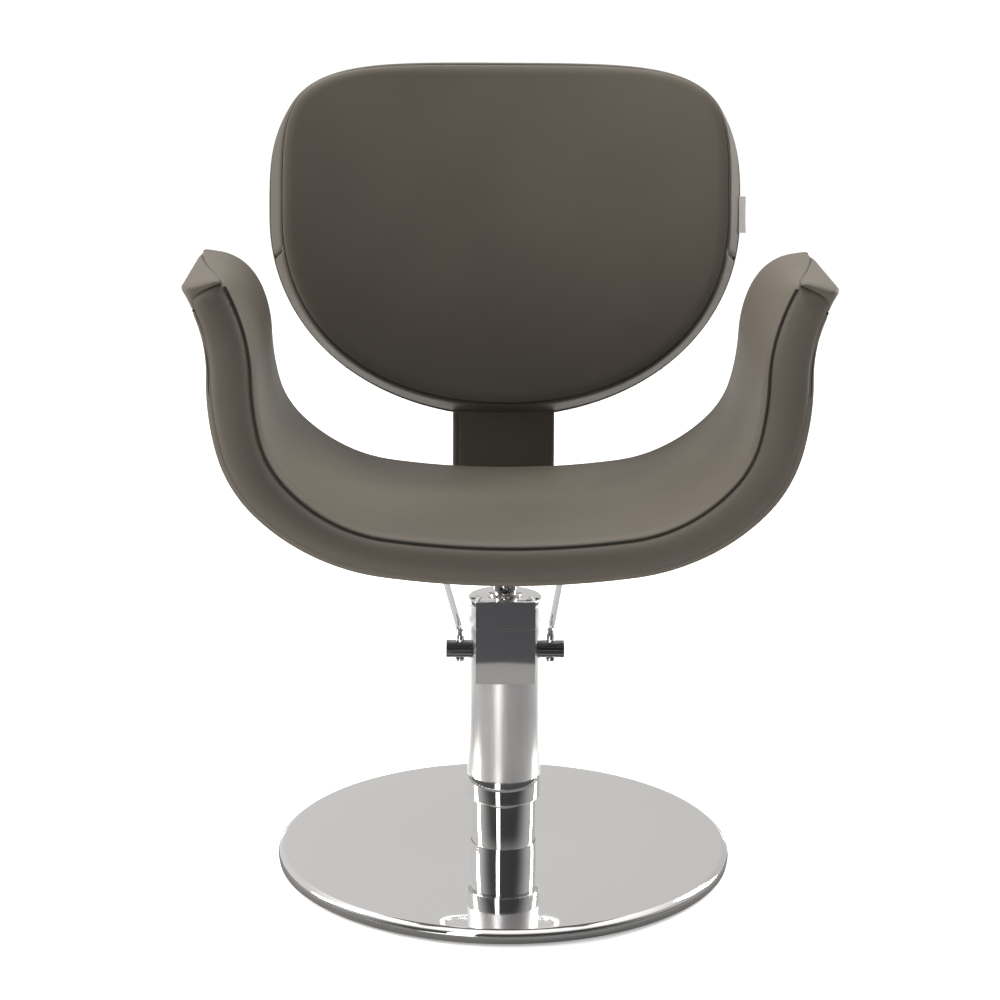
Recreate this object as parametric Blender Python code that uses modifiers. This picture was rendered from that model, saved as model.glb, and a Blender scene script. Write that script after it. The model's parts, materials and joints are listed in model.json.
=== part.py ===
"""Salon styling chair: round base, pump column, swivelling bucket seat and wrapped backrest.

The origin is on the column's axis at the floor, +Z is up and the sitter faces -Y.
All sizes are in metres. Each object is one physical piece.
"""

import math

import bmesh
import bpy
from mathutils import Matrix, Vector

# Driving dimensions -------------------------------------------------------------------------

GAP = 0.0003                      # between pieces that rest on each other or run in each other

BASE_RADIUS = 0.283
BASE_TOP_Z = 0.020
PAD_THICKNESS = 0.007
PLATE_TOP_Z = 0.0163
COVER_BOTTOM_Z = 0.0036
SHEET = 0.0015                    # wall of every pressed cover

FOOT_RADIUS = 0.040
COLUMN_RADIUS = 0.0455
COLUMN_WALL = 0.003
RING_BOTTOM_Z = 0.080
SLEEVE_BOTTOM_Z = 0.111
SLEEVE_TOP_Z = 0.331
CAP_THICKNESS = 0.008
GLAND_TOP_Z = 0.3440

CYLINDER_RADIUS = 0.0235
CYLINDER_BORE = 0.0195
CYLINDER_TOP_Z = 0.3300
ROD_RADIUS = 0.014
PISTON_BOTTOM_Z = 0.034
PISTON_HEIGHT = 0.016

FLANGE_RADIUS = 0.0378
FLANGE_THICKNESS = 0.008
FLANGE_BOLT_CIRCLE = 0.0300

SHAFT_Y = -0.040                  # the pedal turns about this line, along X
SHAFT_Z = 0.283
SHAFT_RADIUS = 0.008
CAM_OFFSET = 0.0055
CAM_RADIUS = 0.0085
CAM_HALF_WIDTH = 0.007
PEDAL_HUB_RADIUS = 0.011
PEDAL_HUB_INNER = 0.0385
PEDAL_HUB_OUTER = 0.072
PEDAL_ROD_RADIUS = 0.005
PEDAL_ROD_X = 0.055
PEDAL_BAR_Z = 0.3052
PEDAL_REAR_X = 0.090
PEDAL_REAR_Y = 0.345
PLUNGER_RADIUS = 0.0045
SPRING_BOTTOM_Z = 0.2500
SPRING_TOP_Z = 0.2600

PUMP_COVER_HALF_WIDTH = 0.0362
PUMP_COVER_FRONT_Y = -0.060
PUMP_COVER_REAR_Y = -0.029
PUMP_COVER_BOTTOM_Z = 0.244
PUMP_COVER_JOINT_Z = 0.3128
PUMP_COVER_TOP_Z = 0.348

HUB_BOTTOM_Z = 0.366
SEAT_PLATE_BOTTOM_Z = 0.3985
SEAT_PLATE_THICKNESS = 0.005
SEAT_PLATE_WIDTH = 0.210
SEAT_PLATE_LENGTH = 0.200
RAIL_INNER_X = 0.070
RAIL_OUTER_X = 0.098
SEAT_BOLT_X = 0.084
SEAT_BOLT_Y = 0.070
BOLT_RADIUS = 0.004
BOLT_CLEARANCE = 0.0006

SEAT_THICKNESS = 0.0444           # of the ribbon in its middle
ARM_THICKNESS = 0.0500            # at the arms' mid-height
TIP_THICKNESS = 0.0440            # at the arm tips
SEAT_CENTRE_Z = 0.4496            # middle of the ribbon's thickness at the front centre
SEAT_FRONT_Y = -0.270
SEAT_REAR_Y = 0.170
ARM_REAR_Y = 0.100
SEAT_TILT = 0.0245                # fall of the seat towards the rear, per metre
SEAT_SPLAY = 0.12                 # widening of the seat towards the rear, per metre
EDGE_BAND = 0.008                 # depth of the leather bands on the seat's front and rear edges
REAR_CLEARANCE = 0.0015            # between the slanted rear edge and its band
ARM_CAP_LENGTH = 0.009
TIP_SHEAR_LENGTH = 0.060          # over this length the arm's end turns from square to level

# The ribbon's centre line as arcs from the middle of the seat to an arm tip: radius, turn in degrees.
# A negative radius bends outwards.
SEAT_ARCS = ((1.000, 8.0), (0.212, 39.0), (0.137, 30.0), (0.306, 14.0), (-0.185, 32.5))

BACK_RADIUS = 0.75                # of the front face's wrap around the sitter
BACK_HALF_WIDTH = 0.2880          # along the wrapped face
BACK_UP = 0.190                   # from the widest line to the top
BACK_DOWN = 0.2435                # from the widest line to the bottom
BACK_FLARE = 0.35                 # growth of the lower outline from front to rear, per metre
BACK_UP_POWER = 4.8               # squareness of the upper and the lower half of the outline
BACK_UP_EASING = 24.0             # loss of that squareness from front to rear, per metre
BACK_DOWN_POWER = 2.1
BACK_DOWN_EASING = 2.0
BACK_THICKNESS = 0.050
BACK_LEAN = math.radians(9.3)
BACK_CENTRE = Vector((0.0, 0.219, 0.783))
BACK_STRIP = 0.0055               # room for the side strip around the backrest's layers
STRIP_CLEARANCE = 0.0012          # between the strip and the layers' rims
STRIP_JOINT_HEIGHT = -0.045       # the side strip's two pieces meet here, measured from the widest line

BRACKET_THICKNESS = 0.005
BRACKET_WIDTH = 0.100
BRACKET_DEPTH_IN_BACK = 0.0378
BRACKET_LEG_Z = 0.4065
BRACKET_BEND = 0.030
BRACKET_FRONT_Y = -0.075
BRACKET_TOP_B = -0.060            # its upper end, measured from the backrest's widest line
SLEEVE_WIDTH = 0.132
SLEEVE_THICKNESS = 0.015

# Materials: base colour, roughness, metallic --------------------------------------------------

FINISHES = {
    "mirror_chrome": ((0.72, 0.72, 0.73), 0.06, 1.0),
    "dark_chrome": ((0.35, 0.35, 0.37), 0.12, 1.0),
    "satin_aluminium": ((0.68, 0.68, 0.69), 0.32, 1.0),
    "steel": ((0.42, 0.42, 0.43), 0.38, 1.0),
    "bronze": ((0.58, 0.42, 0.22), 0.35, 1.0),
    "rubber": ((0.02, 0.02, 0.02), 0.75, 0.0),
    "leather": ((0.075, 0.066, 0.055), 0.48, 0.0),
    "leather_band": ((0.062, 0.054, 0.046), 0.50, 0.0),
    "plywood": ((0.50, 0.36, 0.22), 0.60, 0.0),
    "label": ((0.62, 0.62, 0.63), 0.80, 0.0),
}


def start_scene():
    for item in list(bpy.data.objects):
        bpy.data.objects.remove(item)
    chair = bpy.data.collections.new("styling_chair")
    cutters = bpy.data.collections.new("cutters")
    bpy.context.scene.collection.children.link(chair)
    bpy.context.scene.collection.children.link(cutters)
    return chair, cutters


def make_materials():
    made = {}
    for name, (colour, roughness, metallic) in FINISHES.items():
        material = bpy.data.materials.new(name)
        material.use_nodes = True
        shader = material.node_tree.nodes["Principled BSDF"]
        shader.inputs["Base Color"].default_value = (*colour, 1.0)
        shader.inputs["Roughness"].default_value = roughness
        shader.inputs["Metallic"].default_value = metallic
        made[name] = material
    return made


CHAIR, CUTTERS = start_scene()
MATERIALS = make_materials()


# Shape helpers --------------------------------------------------------------------------------

def add_piece(name, mesh_builder, finish, origin=(0, 0, 0)):
    """Turn a bmesh in world coordinates into an object whose origin is at the given point."""
    mesh = bpy.data.meshes.new(name)
    bmesh.ops.translate(mesh_builder, verts=mesh_builder.verts, vec=-Vector(origin))
    mesh_builder.to_mesh(mesh)
    mesh_builder.free()
    mesh.shade_smooth()
    mesh.set_sharp_from_angle(angle=math.radians(32))
    piece = bpy.data.objects.new(name, mesh)
    piece.location = origin
    mesh.materials.append(MATERIALS[finish])
    CHAIR.objects.link(piece)
    return piece


def add_turned(name, profile, finish, steps=48, origin=(0, 0, 0), closed=True):
    """A turned piece about the origin's vertical line: the profile runs down its outer side."""
    builder = bmesh.new()
    verts = [builder.verts.new((radius, 0, z)) for radius, z in profile]
    for first, second in zip(verts, verts[1:]):
        builder.edges.new((first, second))
    if closed:
        builder.edges.new((verts[-1], verts[0]))
    piece = add_piece(name, builder, finish)
    piece.location = origin
    turn = piece.modifiers.new("Turn", "SCREW")
    turn.steps = steps
    turn.render_steps = steps
    turn.use_merge_vertices = True
    turn.merge_threshold = 0.00005
    turn.use_smooth_shade = True
    return piece


def tube_profile(outer, inner, low, high, edge=0.0):
    """Section of a tube or ring, with its outer edges broken by a small chamfer."""
    if edge == 0.0:
        return [(inner, high), (outer, high), (outer, low), (inner, low)]
    return [
        (inner, high), (outer - edge, high), (outer, high - edge),
        (outer, low + edge), (outer - edge, low), (inner, low),
    ]


def rod_profile(radius, low, high, edge=0.0):
    """Section of a solid round bar."""
    if edge == 0.0:
        return [(0, high), (radius, high), (radius, low), (0, low)]
    return [
        (0, high), (radius - edge, high), (radius, high - edge),
        (radius, low + edge), (radius - edge, low), (0, low),
    ]


def block_builder(low, high):
    """A box between two corners, as a bmesh."""
    low, high = Vector(low), Vector(high)
    size = high - low
    builder = bmesh.new()
    place = Matrix.Translation((low + high) / 2) @ Matrix.Diagonal((*size, 1.0))
    bmesh.ops.create_cube(builder, size=1.0, matrix=place)
    return builder


def add_block(name, low, high, finish, bevel=0.0, origin=(0, 0, 0)):
    piece = add_piece(name, block_builder(low, high), finish, origin)
    if bevel:
        rounding = piece.modifiers.new("Edges", "BEVEL")
        rounding.width = bevel
        rounding.segments = 1
    return piece


def bar_builder(radius, start, end, segments=32):
    """A round bar between two points, as a bmesh."""
    start, end = Vector(start), Vector(end)
    along = end - start
    turn = Vector((0, 0, 1)).rotation_difference(along).to_matrix().to_4x4()
    builder = bmesh.new()
    bmesh.ops.create_cone(
        builder, cap_ends=True, segments=segments, radius1=radius, radius2=radius,
        depth=along.length, matrix=Matrix.Translation((start + end) / 2) @ turn,
    )
    return builder


def add_cutter(name, builder):
    mesh = bpy.data.meshes.new(name)
    builder.to_mesh(mesh)
    builder.free()
    cutter = bpy.data.objects.new(name, mesh)
    cutter.hide_render = True
    cutter.display_type = "WIRE"
    CUTTERS.objects.link(cutter)
    return cutter


def combine(piece, tool, operation):
    """Cut the tool out of the piece, or join it to the piece."""
    step = piece.modifiers.new(tool.name, "BOOLEAN")
    step.object = tool
    step.operation = operation
    step.solver = "EXACT"


def cut_bar(piece, name, radius, start, end, segments=24):
    combine(piece, add_cutter(name, bar_builder(radius, start, end, segments)), "DIFFERENCE")


def cut_block(piece, name, low, high):
    combine(piece, add_cutter(name, block_builder(low, high)), "DIFFERENCE")


def slab_builder(columns, rows, place):
    """A slab of columns x rows cells whose corner (u, v, w), each from 0 to 1, goes to place(u, v, w)."""
    builder = bmesh.new()
    bmesh.ops.create_grid(builder, x_segments=columns, y_segments=rows, size=0.5)
    sheet = builder.faces[:]
    raised = bmesh.ops.extrude_face_region(builder, geom=sheet, use_keep_orig=True)
    top = [item for item in raised["geom"] if isinstance(item, bmesh.types.BMVert)]
    bmesh.ops.translate(builder, verts=top, vec=(0, 0, 1))
    for vert in builder.verts:
        vert.co = place(vert.co.x + 0.5, vert.co.y + 0.5, vert.co.z)
    if builder.calc_volume(signed=True) < 0:
        bmesh.ops.reverse_faces(builder, faces=builder.faces)
    return builder


def add_slab(name, columns, rows, place, finish, origin=(0, 0, 0)):
    return add_piece(name, slab_builder(columns, rows, place), finish, origin)


def mix(low, high, share):
    return low + (high - low) * share


def smooth_step(low, high, value):
    share = min(1.0, max(0.0, (value - low) / (high - low)))
    return share * share * (3 - 2 * share)


def add_bolt(name, seat, direction, head_radius, head_height, shank, finish, radius=BOLT_RADIUS):
    """A cap screw whose head's underside is at the seat and whose shank runs along the direction."""
    profile = [
        (0, shank), (radius, shank), (radius, 0), (head_radius, 0),
        (head_radius, -head_height + 0.001), (head_radius - 0.001, -head_height), (0, -head_height),
    ]
    piece = add_turned(name, profile, finish, steps=12, origin=seat, closed=False)
    piece.rotation_mode = "QUATERNION"
    piece.rotation_quaternion = Vector((0, 0, 1)).rotation_difference(Vector(direction))
    return piece


# Base and column ------------------------------------------------------------------------------

def bolt_circle(radius, count=4):
    for index in range(count):
        angle = math.radians(45) + 2 * math.pi * index / count
        yield radius * math.cos(angle), radius * math.sin(angle)


def build_base():
    add_turned("floor_pad", rod_profile(0.264, 0, PAD_THICKNESS), "rubber", 40, closed=False)
    plate_low = PAD_THICKNESS + GAP
    plate = add_turned(
        "base_plate", rod_profile(0.268, plate_low, PLATE_TOP_Z), "steel", 40, closed=False
    )
    inner_top = BASE_TOP_Z - SHEET
    hole = FOOT_RADIUS + GAP
    rim_z = BASE_TOP_Z - 0.0090
    cover = [
        (hole, BASE_TOP_Z), (BASE_RADIUS - 0.0085, BASE_TOP_Z),
        (BASE_RADIUS - 0.0035, BASE_TOP_Z - 0.0013), (BASE_RADIUS - 0.0008, BASE_TOP_Z - 0.0045),
        (BASE_RADIUS, rim_z), (BASE_RADIUS - 0.0016, COVER_BOTTOM_Z),
        (BASE_RADIUS - 0.0033, COVER_BOTTOM_Z), (BASE_RADIUS - 0.0016, rim_z),
        (BASE_RADIUS - 0.0024, BASE_TOP_Z - 0.0053), (BASE_RADIUS - 0.0044, BASE_TOP_Z - 0.0027),
        (BASE_RADIUS - 0.0090, inner_top), (hole, inner_top),
    ]
    add_turned("base_cover", cover, "mirror_chrome", 60)

    flange_low = PLATE_TOP_Z + GAP
    flange_top = flange_low + FLANGE_THICKNESS
    flange = add_turned(
        "column_flange", rod_profile(FLANGE_RADIUS, flange_low, flange_top), "steel", 32, closed=False
    )
    bolt_end = plate_low + 0.0022
    shank = flange_top + GAP - bolt_end
    for index, (x, y) in enumerate(bolt_circle(FLANGE_BOLT_CIRCLE), 1):
        for target in (plate, flange):
            cut_bar(
                target, f"{target.name}_hole_{index}", BOLT_RADIUS + BOLT_CLEARANCE,
                (x, y, bolt_end - 0.0005), (x, y, 0.04), 12,
            )
        seat = (x, y, flange_top + GAP)
        add_bolt(f"flange_bolt_{index}", seat, (0, 0, -1), 0.0055, 0.006, shank, "steel")
    return flange_top


def build_column(flange_top):
    add_turned(
        "column_foot", tube_profile(FOOT_RADIUS, 0.0383, PLATE_TOP_Z + GAP, RING_BOTTOM_Z - GAP),
        "mirror_chrome", 40,
    )
    add_turned(
        "column_ring", tube_profile(COLUMN_RADIUS, 0.0383, RING_BOTTOM_Z, SLEEVE_BOTTOM_Z - GAP),
        "mirror_chrome", 40,
    )
    sleeve = add_turned(
        "column_sleeve",
        tube_profile(COLUMN_RADIUS, COLUMN_RADIUS - COLUMN_WALL, SLEEVE_BOTTOM_Z, SLEEVE_TOP_Z),
        "satin_aluminium", 40,
    )
    cut_block(sleeve, "pump_window", (-0.0225, -0.06, 0.2460), (0.0225, -0.02, 0.3292))
    cut_block(sleeve, "shaft_slot", (-0.0350, -0.06, SHAFT_Z - 0.009), (0.0350, -0.027, SHAFT_Z + 0.009))
    cap_low = SLEEVE_TOP_Z + GAP
    cap_top = cap_low + CAP_THICKNESS
    add_turned(
        "column_cap", tube_profile(COLUMN_RADIUS, ROD_RADIUS + 0.001, cap_low, cap_top, 0.0012),
        "mirror_chrome", 40,
    )
    add_turned(
        "rod_gland", tube_profile(0.0215, ROD_RADIUS + GAP, cap_top + GAP, GLAND_TOP_Z),
        "mirror_chrome", 32,
    )
    add_turned(
        "hydraulic_cylinder",
        tube_profile(CYLINDER_RADIUS, CYLINDER_BORE, flange_top + GAP, CYLINDER_TOP_Z), "steel", 32,
    )
    guide_low = 0.290
    guide_top = 0.322
    guide_radius = CYLINDER_BORE - GAP
    add_turned(
        "rod_guide", tube_profile(guide_radius, ROD_RADIUS + GAP, guide_low, guide_top), "bronze", 32
    )
    add_turned(
        "rod_seal", tube_profile(guide_radius, ROD_RADIUS + GAP, guide_top + GAP, guide_top + 0.006),
        "rubber", 32,
    )


def build_lift():
    piston_top = PISTON_BOTTOM_Z + PISTON_HEIGHT
    rod_top = SEAT_PLATE_BOTTOM_Z - 0.0060
    add_turned(
        "piston", rod_profile(CYLINDER_BORE - GAP, PISTON_BOTTOM_Z, piston_top),
        "steel", 32, closed=False,
    )
    add_turned(
        "piston_rod", rod_profile(ROD_RADIUS, piston_top + GAP, rod_top), "mirror_chrome", 32,
        closed=False,
    )
    add_turned(
        "swivel_bearing", rod_profile(ROD_RADIUS - 0.001, rod_top + GAP, rod_top + 0.0028),
        "bronze", 32, closed=False,
    )


# Pump and pedal -------------------------------------------------------------------------------

def build_pump():
    housing = add_block(
        "pump_housing", (-0.021, -0.0535, 0.2465), (0.021, -0.0238, 0.3280), "satin_aluminium", 0.002
    )
    across = (0.03, SHAFT_Y, SHAFT_Z)
    cut_bar(housing, "shaft_bore", SHAFT_RADIUS + GAP, (-across[0], *across[1:]), across)
    room = CAM_HALF_WIDTH + 0.001
    cut_bar(
        housing, "cam_room", CAM_OFFSET + CAM_RADIUS + 0.0005,
        (-room, SHAFT_Y, SHAFT_Z), (room, SHAFT_Y, SHAFT_Z),
    )
    plunger_y = SHAFT_Y + CAM_OFFSET
    cut_bar(
        housing, "plunger_bore", PLUNGER_RADIUS + GAP,
        (0, plunger_y, SPRING_BOTTOM_Z - GAP), (0, plunger_y, SHAFT_Z),
    )
    add_turned(
        "pump_plunger",
        rod_profile(PLUNGER_RADIUS, SPRING_TOP_Z + 0.0005, SHAFT_Z - CAM_RADIUS - 0.0005, 0.0006),
        "steel", 24, origin=(0, plunger_y, 0), closed=False,
    )
    build_spring((0, plunger_y))
    build_pump_covers()


def build_spring(centre):
    wire = 0.0005
    coil = 0.0034
    turns = 4
    points_per_turn = 8
    low = SPRING_BOTTOM_Z + wire
    high = SPRING_TOP_Z - wire
    count = turns * points_per_turn
    route = []
    for index in range(count + 1):
        angle = 2 * math.pi * index / points_per_turn
        height = mix(low, high, index / count)
        route.append((centre[0] + coil * math.cos(angle), centre[1] + coil * math.sin(angle), height))
    add_wire("plunger_spring", route, wire, "steel", 1)


def add_wire(name, route, radius, finish, resolution=3, origin=(0, 0, 0)):
    """A round wire or rod along a route of points, with filled ends."""
    curve = bpy.data.curves.new(name, "CURVE")
    curve.dimensions = "3D"
    curve.bevel_depth = radius
    curve.bevel_resolution = resolution
    curve.use_fill_caps = True
    curve.render_resolution_u = 0
    spline = curve.splines.new("POLY")
    spline.points.add(len(route) - 1)
    for point, place in zip(spline.points, route):
        point.co = (*(Vector(place) - Vector(origin)), 1)
    curve.materials.append(MATERIALS[finish])
    piece = bpy.data.objects.new(name, curve)
    piece.location = origin
    CHAIR.objects.link(piece)
    return piece


def add_cover(name, low, high, open_faces):
    """A pressed box cover with some sides left open, given as outward directions."""
    builder = block_builder(low, high)
    builder.faces.ensure_lookup_table()
    gone = [
        face for face in builder.faces
        if any(face.normal.dot(Vector(side)) > 0.9 for side in open_faces)
    ]
    bmesh.ops.delete(builder, geom=gone, context="FACES_ONLY")
    piece = add_piece(name, builder, "mirror_chrome")
    wall = piece.modifiers.new("Wall", "SOLIDIFY")
    wall.thickness = SHEET
    wall.offset = -1
    wall.use_even_offset = True
    return piece


def build_pump_covers():
    half = PUMP_COVER_HALF_WIDTH
    rear = (0, 1, 0)
    lower = add_cover(
        "pump_cover_lower", (-half, PUMP_COVER_FRONT_Y, PUMP_COVER_BOTTOM_Z),
        (half, PUMP_COVER_REAR_Y, PUMP_COVER_JOINT_Z - GAP), (rear, (0, 0, 1)),
    )
    upper = add_cover(
        "pump_cover_upper", (-half, PUMP_COVER_FRONT_Y, PUMP_COVER_JOINT_Z),
        (half, PUMP_COVER_REAR_Y, PUMP_COVER_TOP_Z), (rear, (0, 0, -1)),
    )
    for cover in (lower, upper):
        cut_bar(
            cover, f"{cover.name}_column", COLUMN_RADIUS + 2 * GAP, (0, 0, 0.20), (0, 0, 0.38), 64
        )
    cut_bar(
        lower, "cover_shaft_holes", SHAFT_RADIUS + 2 * GAP,
        (-0.06, SHAFT_Y, SHAFT_Z), (0.06, SHAFT_Y, SHAFT_Z),
    )


def rounded_route(corners, radii, step):
    """Points along straight runs whose inner corners are replaced by arcs of the given radii."""
    corners = [Vector(corner) for corner in corners]
    route = [corners[0]]
    for before, corner, after, radius in zip(corners, corners[1:], corners[2:], radii):
        arriving = (corner - before).normalized()
        leaving = (after - corner).normalized()
        turn = arriving.angle(leaving)
        reach = radius * math.tan(turn / 2)
        start = corner - arriving * reach
        side = (leaving - arriving * arriving.dot(leaving)).normalized()
        count = max(3, math.ceil(radius * turn / step))
        for index in range(count + 1):
            angle = turn * index / count
            forward, sideways = radius * math.sin(angle), radius * (1 - math.cos(angle))
            route.append(start + arriving * forward + side * sideways)
    route.append(corners[-1])
    return route


def build_pedal():
    pivot = (0, SHAFT_Y, SHAFT_Z)
    shaft_end = 0.0475
    shaft = add_piece(
        "pedal_shaft",
        bar_builder(SHAFT_RADIUS, (-shaft_end, SHAFT_Y, SHAFT_Z), (shaft_end, SHAFT_Y, SHAFT_Z)),
        "steel", pivot,
    )
    cam_y = SHAFT_Y + CAM_OFFSET
    cam = bar_builder(
        CAM_RADIUS, (-CAM_HALF_WIDTH, cam_y, SHAFT_Z), (CAM_HALF_WIDTH, cam_y, SHAFT_Z)
    )
    combine(shaft, add_cutter("cam_lobe", cam), "UNION")

    for side, label in ((-1, "left"), (1, "right")):
        inner = (side * PEDAL_HUB_INNER, SHAFT_Y, SHAFT_Z)
        outer = (side * PEDAL_HUB_OUTER, SHAFT_Y, SHAFT_Z)
        bar = bar_builder(PEDAL_HUB_RADIUS, inner, outer)
        hub = add_piece(f"pedal_hub_{label}", bar, "dark_chrome", pivot)
        cut_bar(
            hub, f"hub_{label}_shaft_bore", SHAFT_RADIUS + GAP,
            (side * 0.03, SHAFT_Y, SHAFT_Z), (side * (shaft_end + GAP), SHAFT_Y, SHAFT_Z),
        )
        cut_bar(
            hub, f"hub_{label}_rod_bore", PEDAL_ROD_RADIUS + GAP,
            (side * PEDAL_ROD_X, SHAFT_Y, SHAFT_Z - 0.02), (side * PEDAL_ROD_X, SHAFT_Y, SHAFT_Z + 0.02),
        )
        under = SHAFT_Z - PEDAL_HUB_RADIUS - GAP
        screw = [
            (0, under + 0.0025), (0.0035, under + 0.0025), (0.0035, under), (0.0055, under),
            (0.0055, under - 0.003), (0.0040, under - 0.0045), (0, under - 0.0050),
        ]
        add_turned(
            f"pedal_screw_{label}", screw, "mirror_chrome", 20,
            origin=(side * PEDAL_ROD_X, SHAFT_Y, 0), closed=False,
        )

    half_route = [
        (PEDAL_ROD_X, SHAFT_Y, SHAFT_Z - 0.0080), (PEDAL_ROD_X, SHAFT_Y, PEDAL_BAR_Z),
        (PEDAL_REAR_X, PEDAL_REAR_Y, PEDAL_BAR_Z),
    ]
    corners = half_route + [(-x, y, z) for x, y, z in reversed(half_route)]
    bend = 0.0108
    rear_bend = 0.045
    route = rounded_route(corners, (bend, rear_bend, rear_bend, bend), 0.010)
    add_wire("pedal_bar", route, PEDAL_ROD_RADIUS, "mirror_chrome", 3, pivot)

    grip = bar_builder(0.009, (-0.036, PEDAL_REAR_Y, PEDAL_BAR_Z), (0.036, PEDAL_REAR_Y, PEDAL_BAR_Z), 24)
    grip_piece = add_piece("pedal_grip", grip, "rubber", pivot)
    cut_bar(
        grip_piece, "grip_bore", PEDAL_ROD_RADIUS + GAP,
        (-0.05, PEDAL_REAR_Y, PEDAL_BAR_Z), (0.05, PEDAL_REAR_Y, PEDAL_BAR_Z),
    )


# Seat -----------------------------------------------------------------------------------------

SEAT_HALF_LENGTH = sum(abs(radius) * math.radians(turn) for radius, turn in SEAT_ARCS)


def ribbon_line(distance):
    """Place and heading of the ribbon's centre line, a distance from its middle towards +X."""
    x, z, heading = 0.0, SEAT_CENTRE_Z, 0.0
    for radius, turn in SEAT_ARCS:
        length = abs(radius) * math.radians(turn)
        run = min(distance, length)
        new_heading = heading + run / radius
        x += radius * (math.sin(new_heading) - math.sin(heading))
        z += radius * (math.cos(heading) - math.cos(new_heading))
        heading = new_heading
        distance -= run
        if distance <= 0:
            break
    return x, z, heading


def seat_thickness(share):
    """The ribbon's thickness at a share of its half length: full at the arms, less at its ends."""
    arm = mix(SEAT_THICKNESS, ARM_THICKNESS, smooth_step(0.30, 0.62, share))
    return mix(arm, TIP_THICKNESS, smooth_step(0.72, 1.0, share))


def seat_point(along, y, depth):
    """A point of the ribbon: along its line from -1 to 1, at y, from 0 outside to 1 inside."""
    distance = abs(along) * SEAT_HALF_LENGTH
    x, z, heading = ribbon_line(distance)
    level = smooth_step(SEAT_HALF_LENGTH - TIP_SHEAR_LENGTH, SEAT_HALF_LENGTH, distance)
    end_heading = ribbon_line(SEAT_HALF_LENGTH)[2]
    shear = (math.pi / 2 - end_heading) * level
    across = heading + math.pi / 2 + shear
    offset = (depth - 0.5) * seat_thickness(abs(along)) / math.cos(shear)
    x += offset * math.cos(across)
    z += offset * math.sin(across)
    behind = y - SEAT_FRONT_Y
    x *= 1 + SEAT_SPLAY * behind
    z -= SEAT_TILT * behind
    return Vector((math.copysign(x, along) if along else 0.0, y, z))


def seat_rear(along):
    """The rear edge's y: the arms are shallower than the seat."""
    return mix(SEAT_REAR_Y, ARM_REAR_Y, smooth_step(0.35, 0.95, abs(along)))


def add_ribbon(name, reach, depths, front, rear, columns, rows, finish):
    """Part of the ribbon: its reach along the line, its layer and its front and rear edges."""
    def place(u, v, w):
        along = mix(reach[0], reach[1], u)
        return seat_point(along, mix(front(along), rear(along), v), mix(depths[0], depths[1], w))
    return add_slab(name, columns, rows, place, finish)


def build_seat():
    cap_start = 1 - ARM_CAP_LENGTH / SEAT_HALF_LENGTH
    body = cap_start - GAP / SEAT_HALF_LENGTH
    whole = (-body, body)

    def inner_front(along):
        return SEAT_FRONT_Y + EDGE_BAND + GAP

    def inner_rear(along):
        return seat_rear(along) - EDGE_BAND - REAR_CLEARANCE

    def front_edge(along):
        return SEAT_FRONT_Y

    cover = add_ribbon("seat_outer_cover", whole, (0.0, 0.20), inner_front, inner_rear, 40, 3, "leather")
    shell = add_ribbon("seat_shell", whole, (0.21, 0.45), inner_front, inner_rear, 40, 3, "plywood")
    add_ribbon("seat_cushion", whole, (0.46, 1.0), inner_front, inner_rear, 40, 3, "leather")
    add_ribbon(
        "seat_front_band", whole, (0.0, 1.0), front_edge,
        lambda along: SEAT_FRONT_Y + EDGE_BAND, 40, 1, "leather_band",
    )
    add_ribbon(
        "seat_rear_band", whole, (0.0, 1.0), lambda along: seat_rear(along) - EDGE_BAND,
        seat_rear, 40, 1, "leather_band",
    )
    for side, label in ((-1, "left"), (1, "right")):
        add_ribbon(
            f"arm_cap_{label}", (side * cap_start, side), (0.0, 1.0), front_edge, seat_rear, 2, 6, "leather"
        )
    build_seat_mounting(cover, shell)


def seat_underside(x, y):
    """Height of the ribbon's underside near its middle, found by stepping along the line."""
    low, high = 0.0, 0.5
    for _ in range(40):
        middle = (low + high) / 2
        if seat_point(middle, y, 0.0).x < abs(x):
            low = middle
        else:
            high = middle
    return seat_point(low, y, 0.0).z if x else seat_point(0.0, y, 0.0).z


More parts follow.
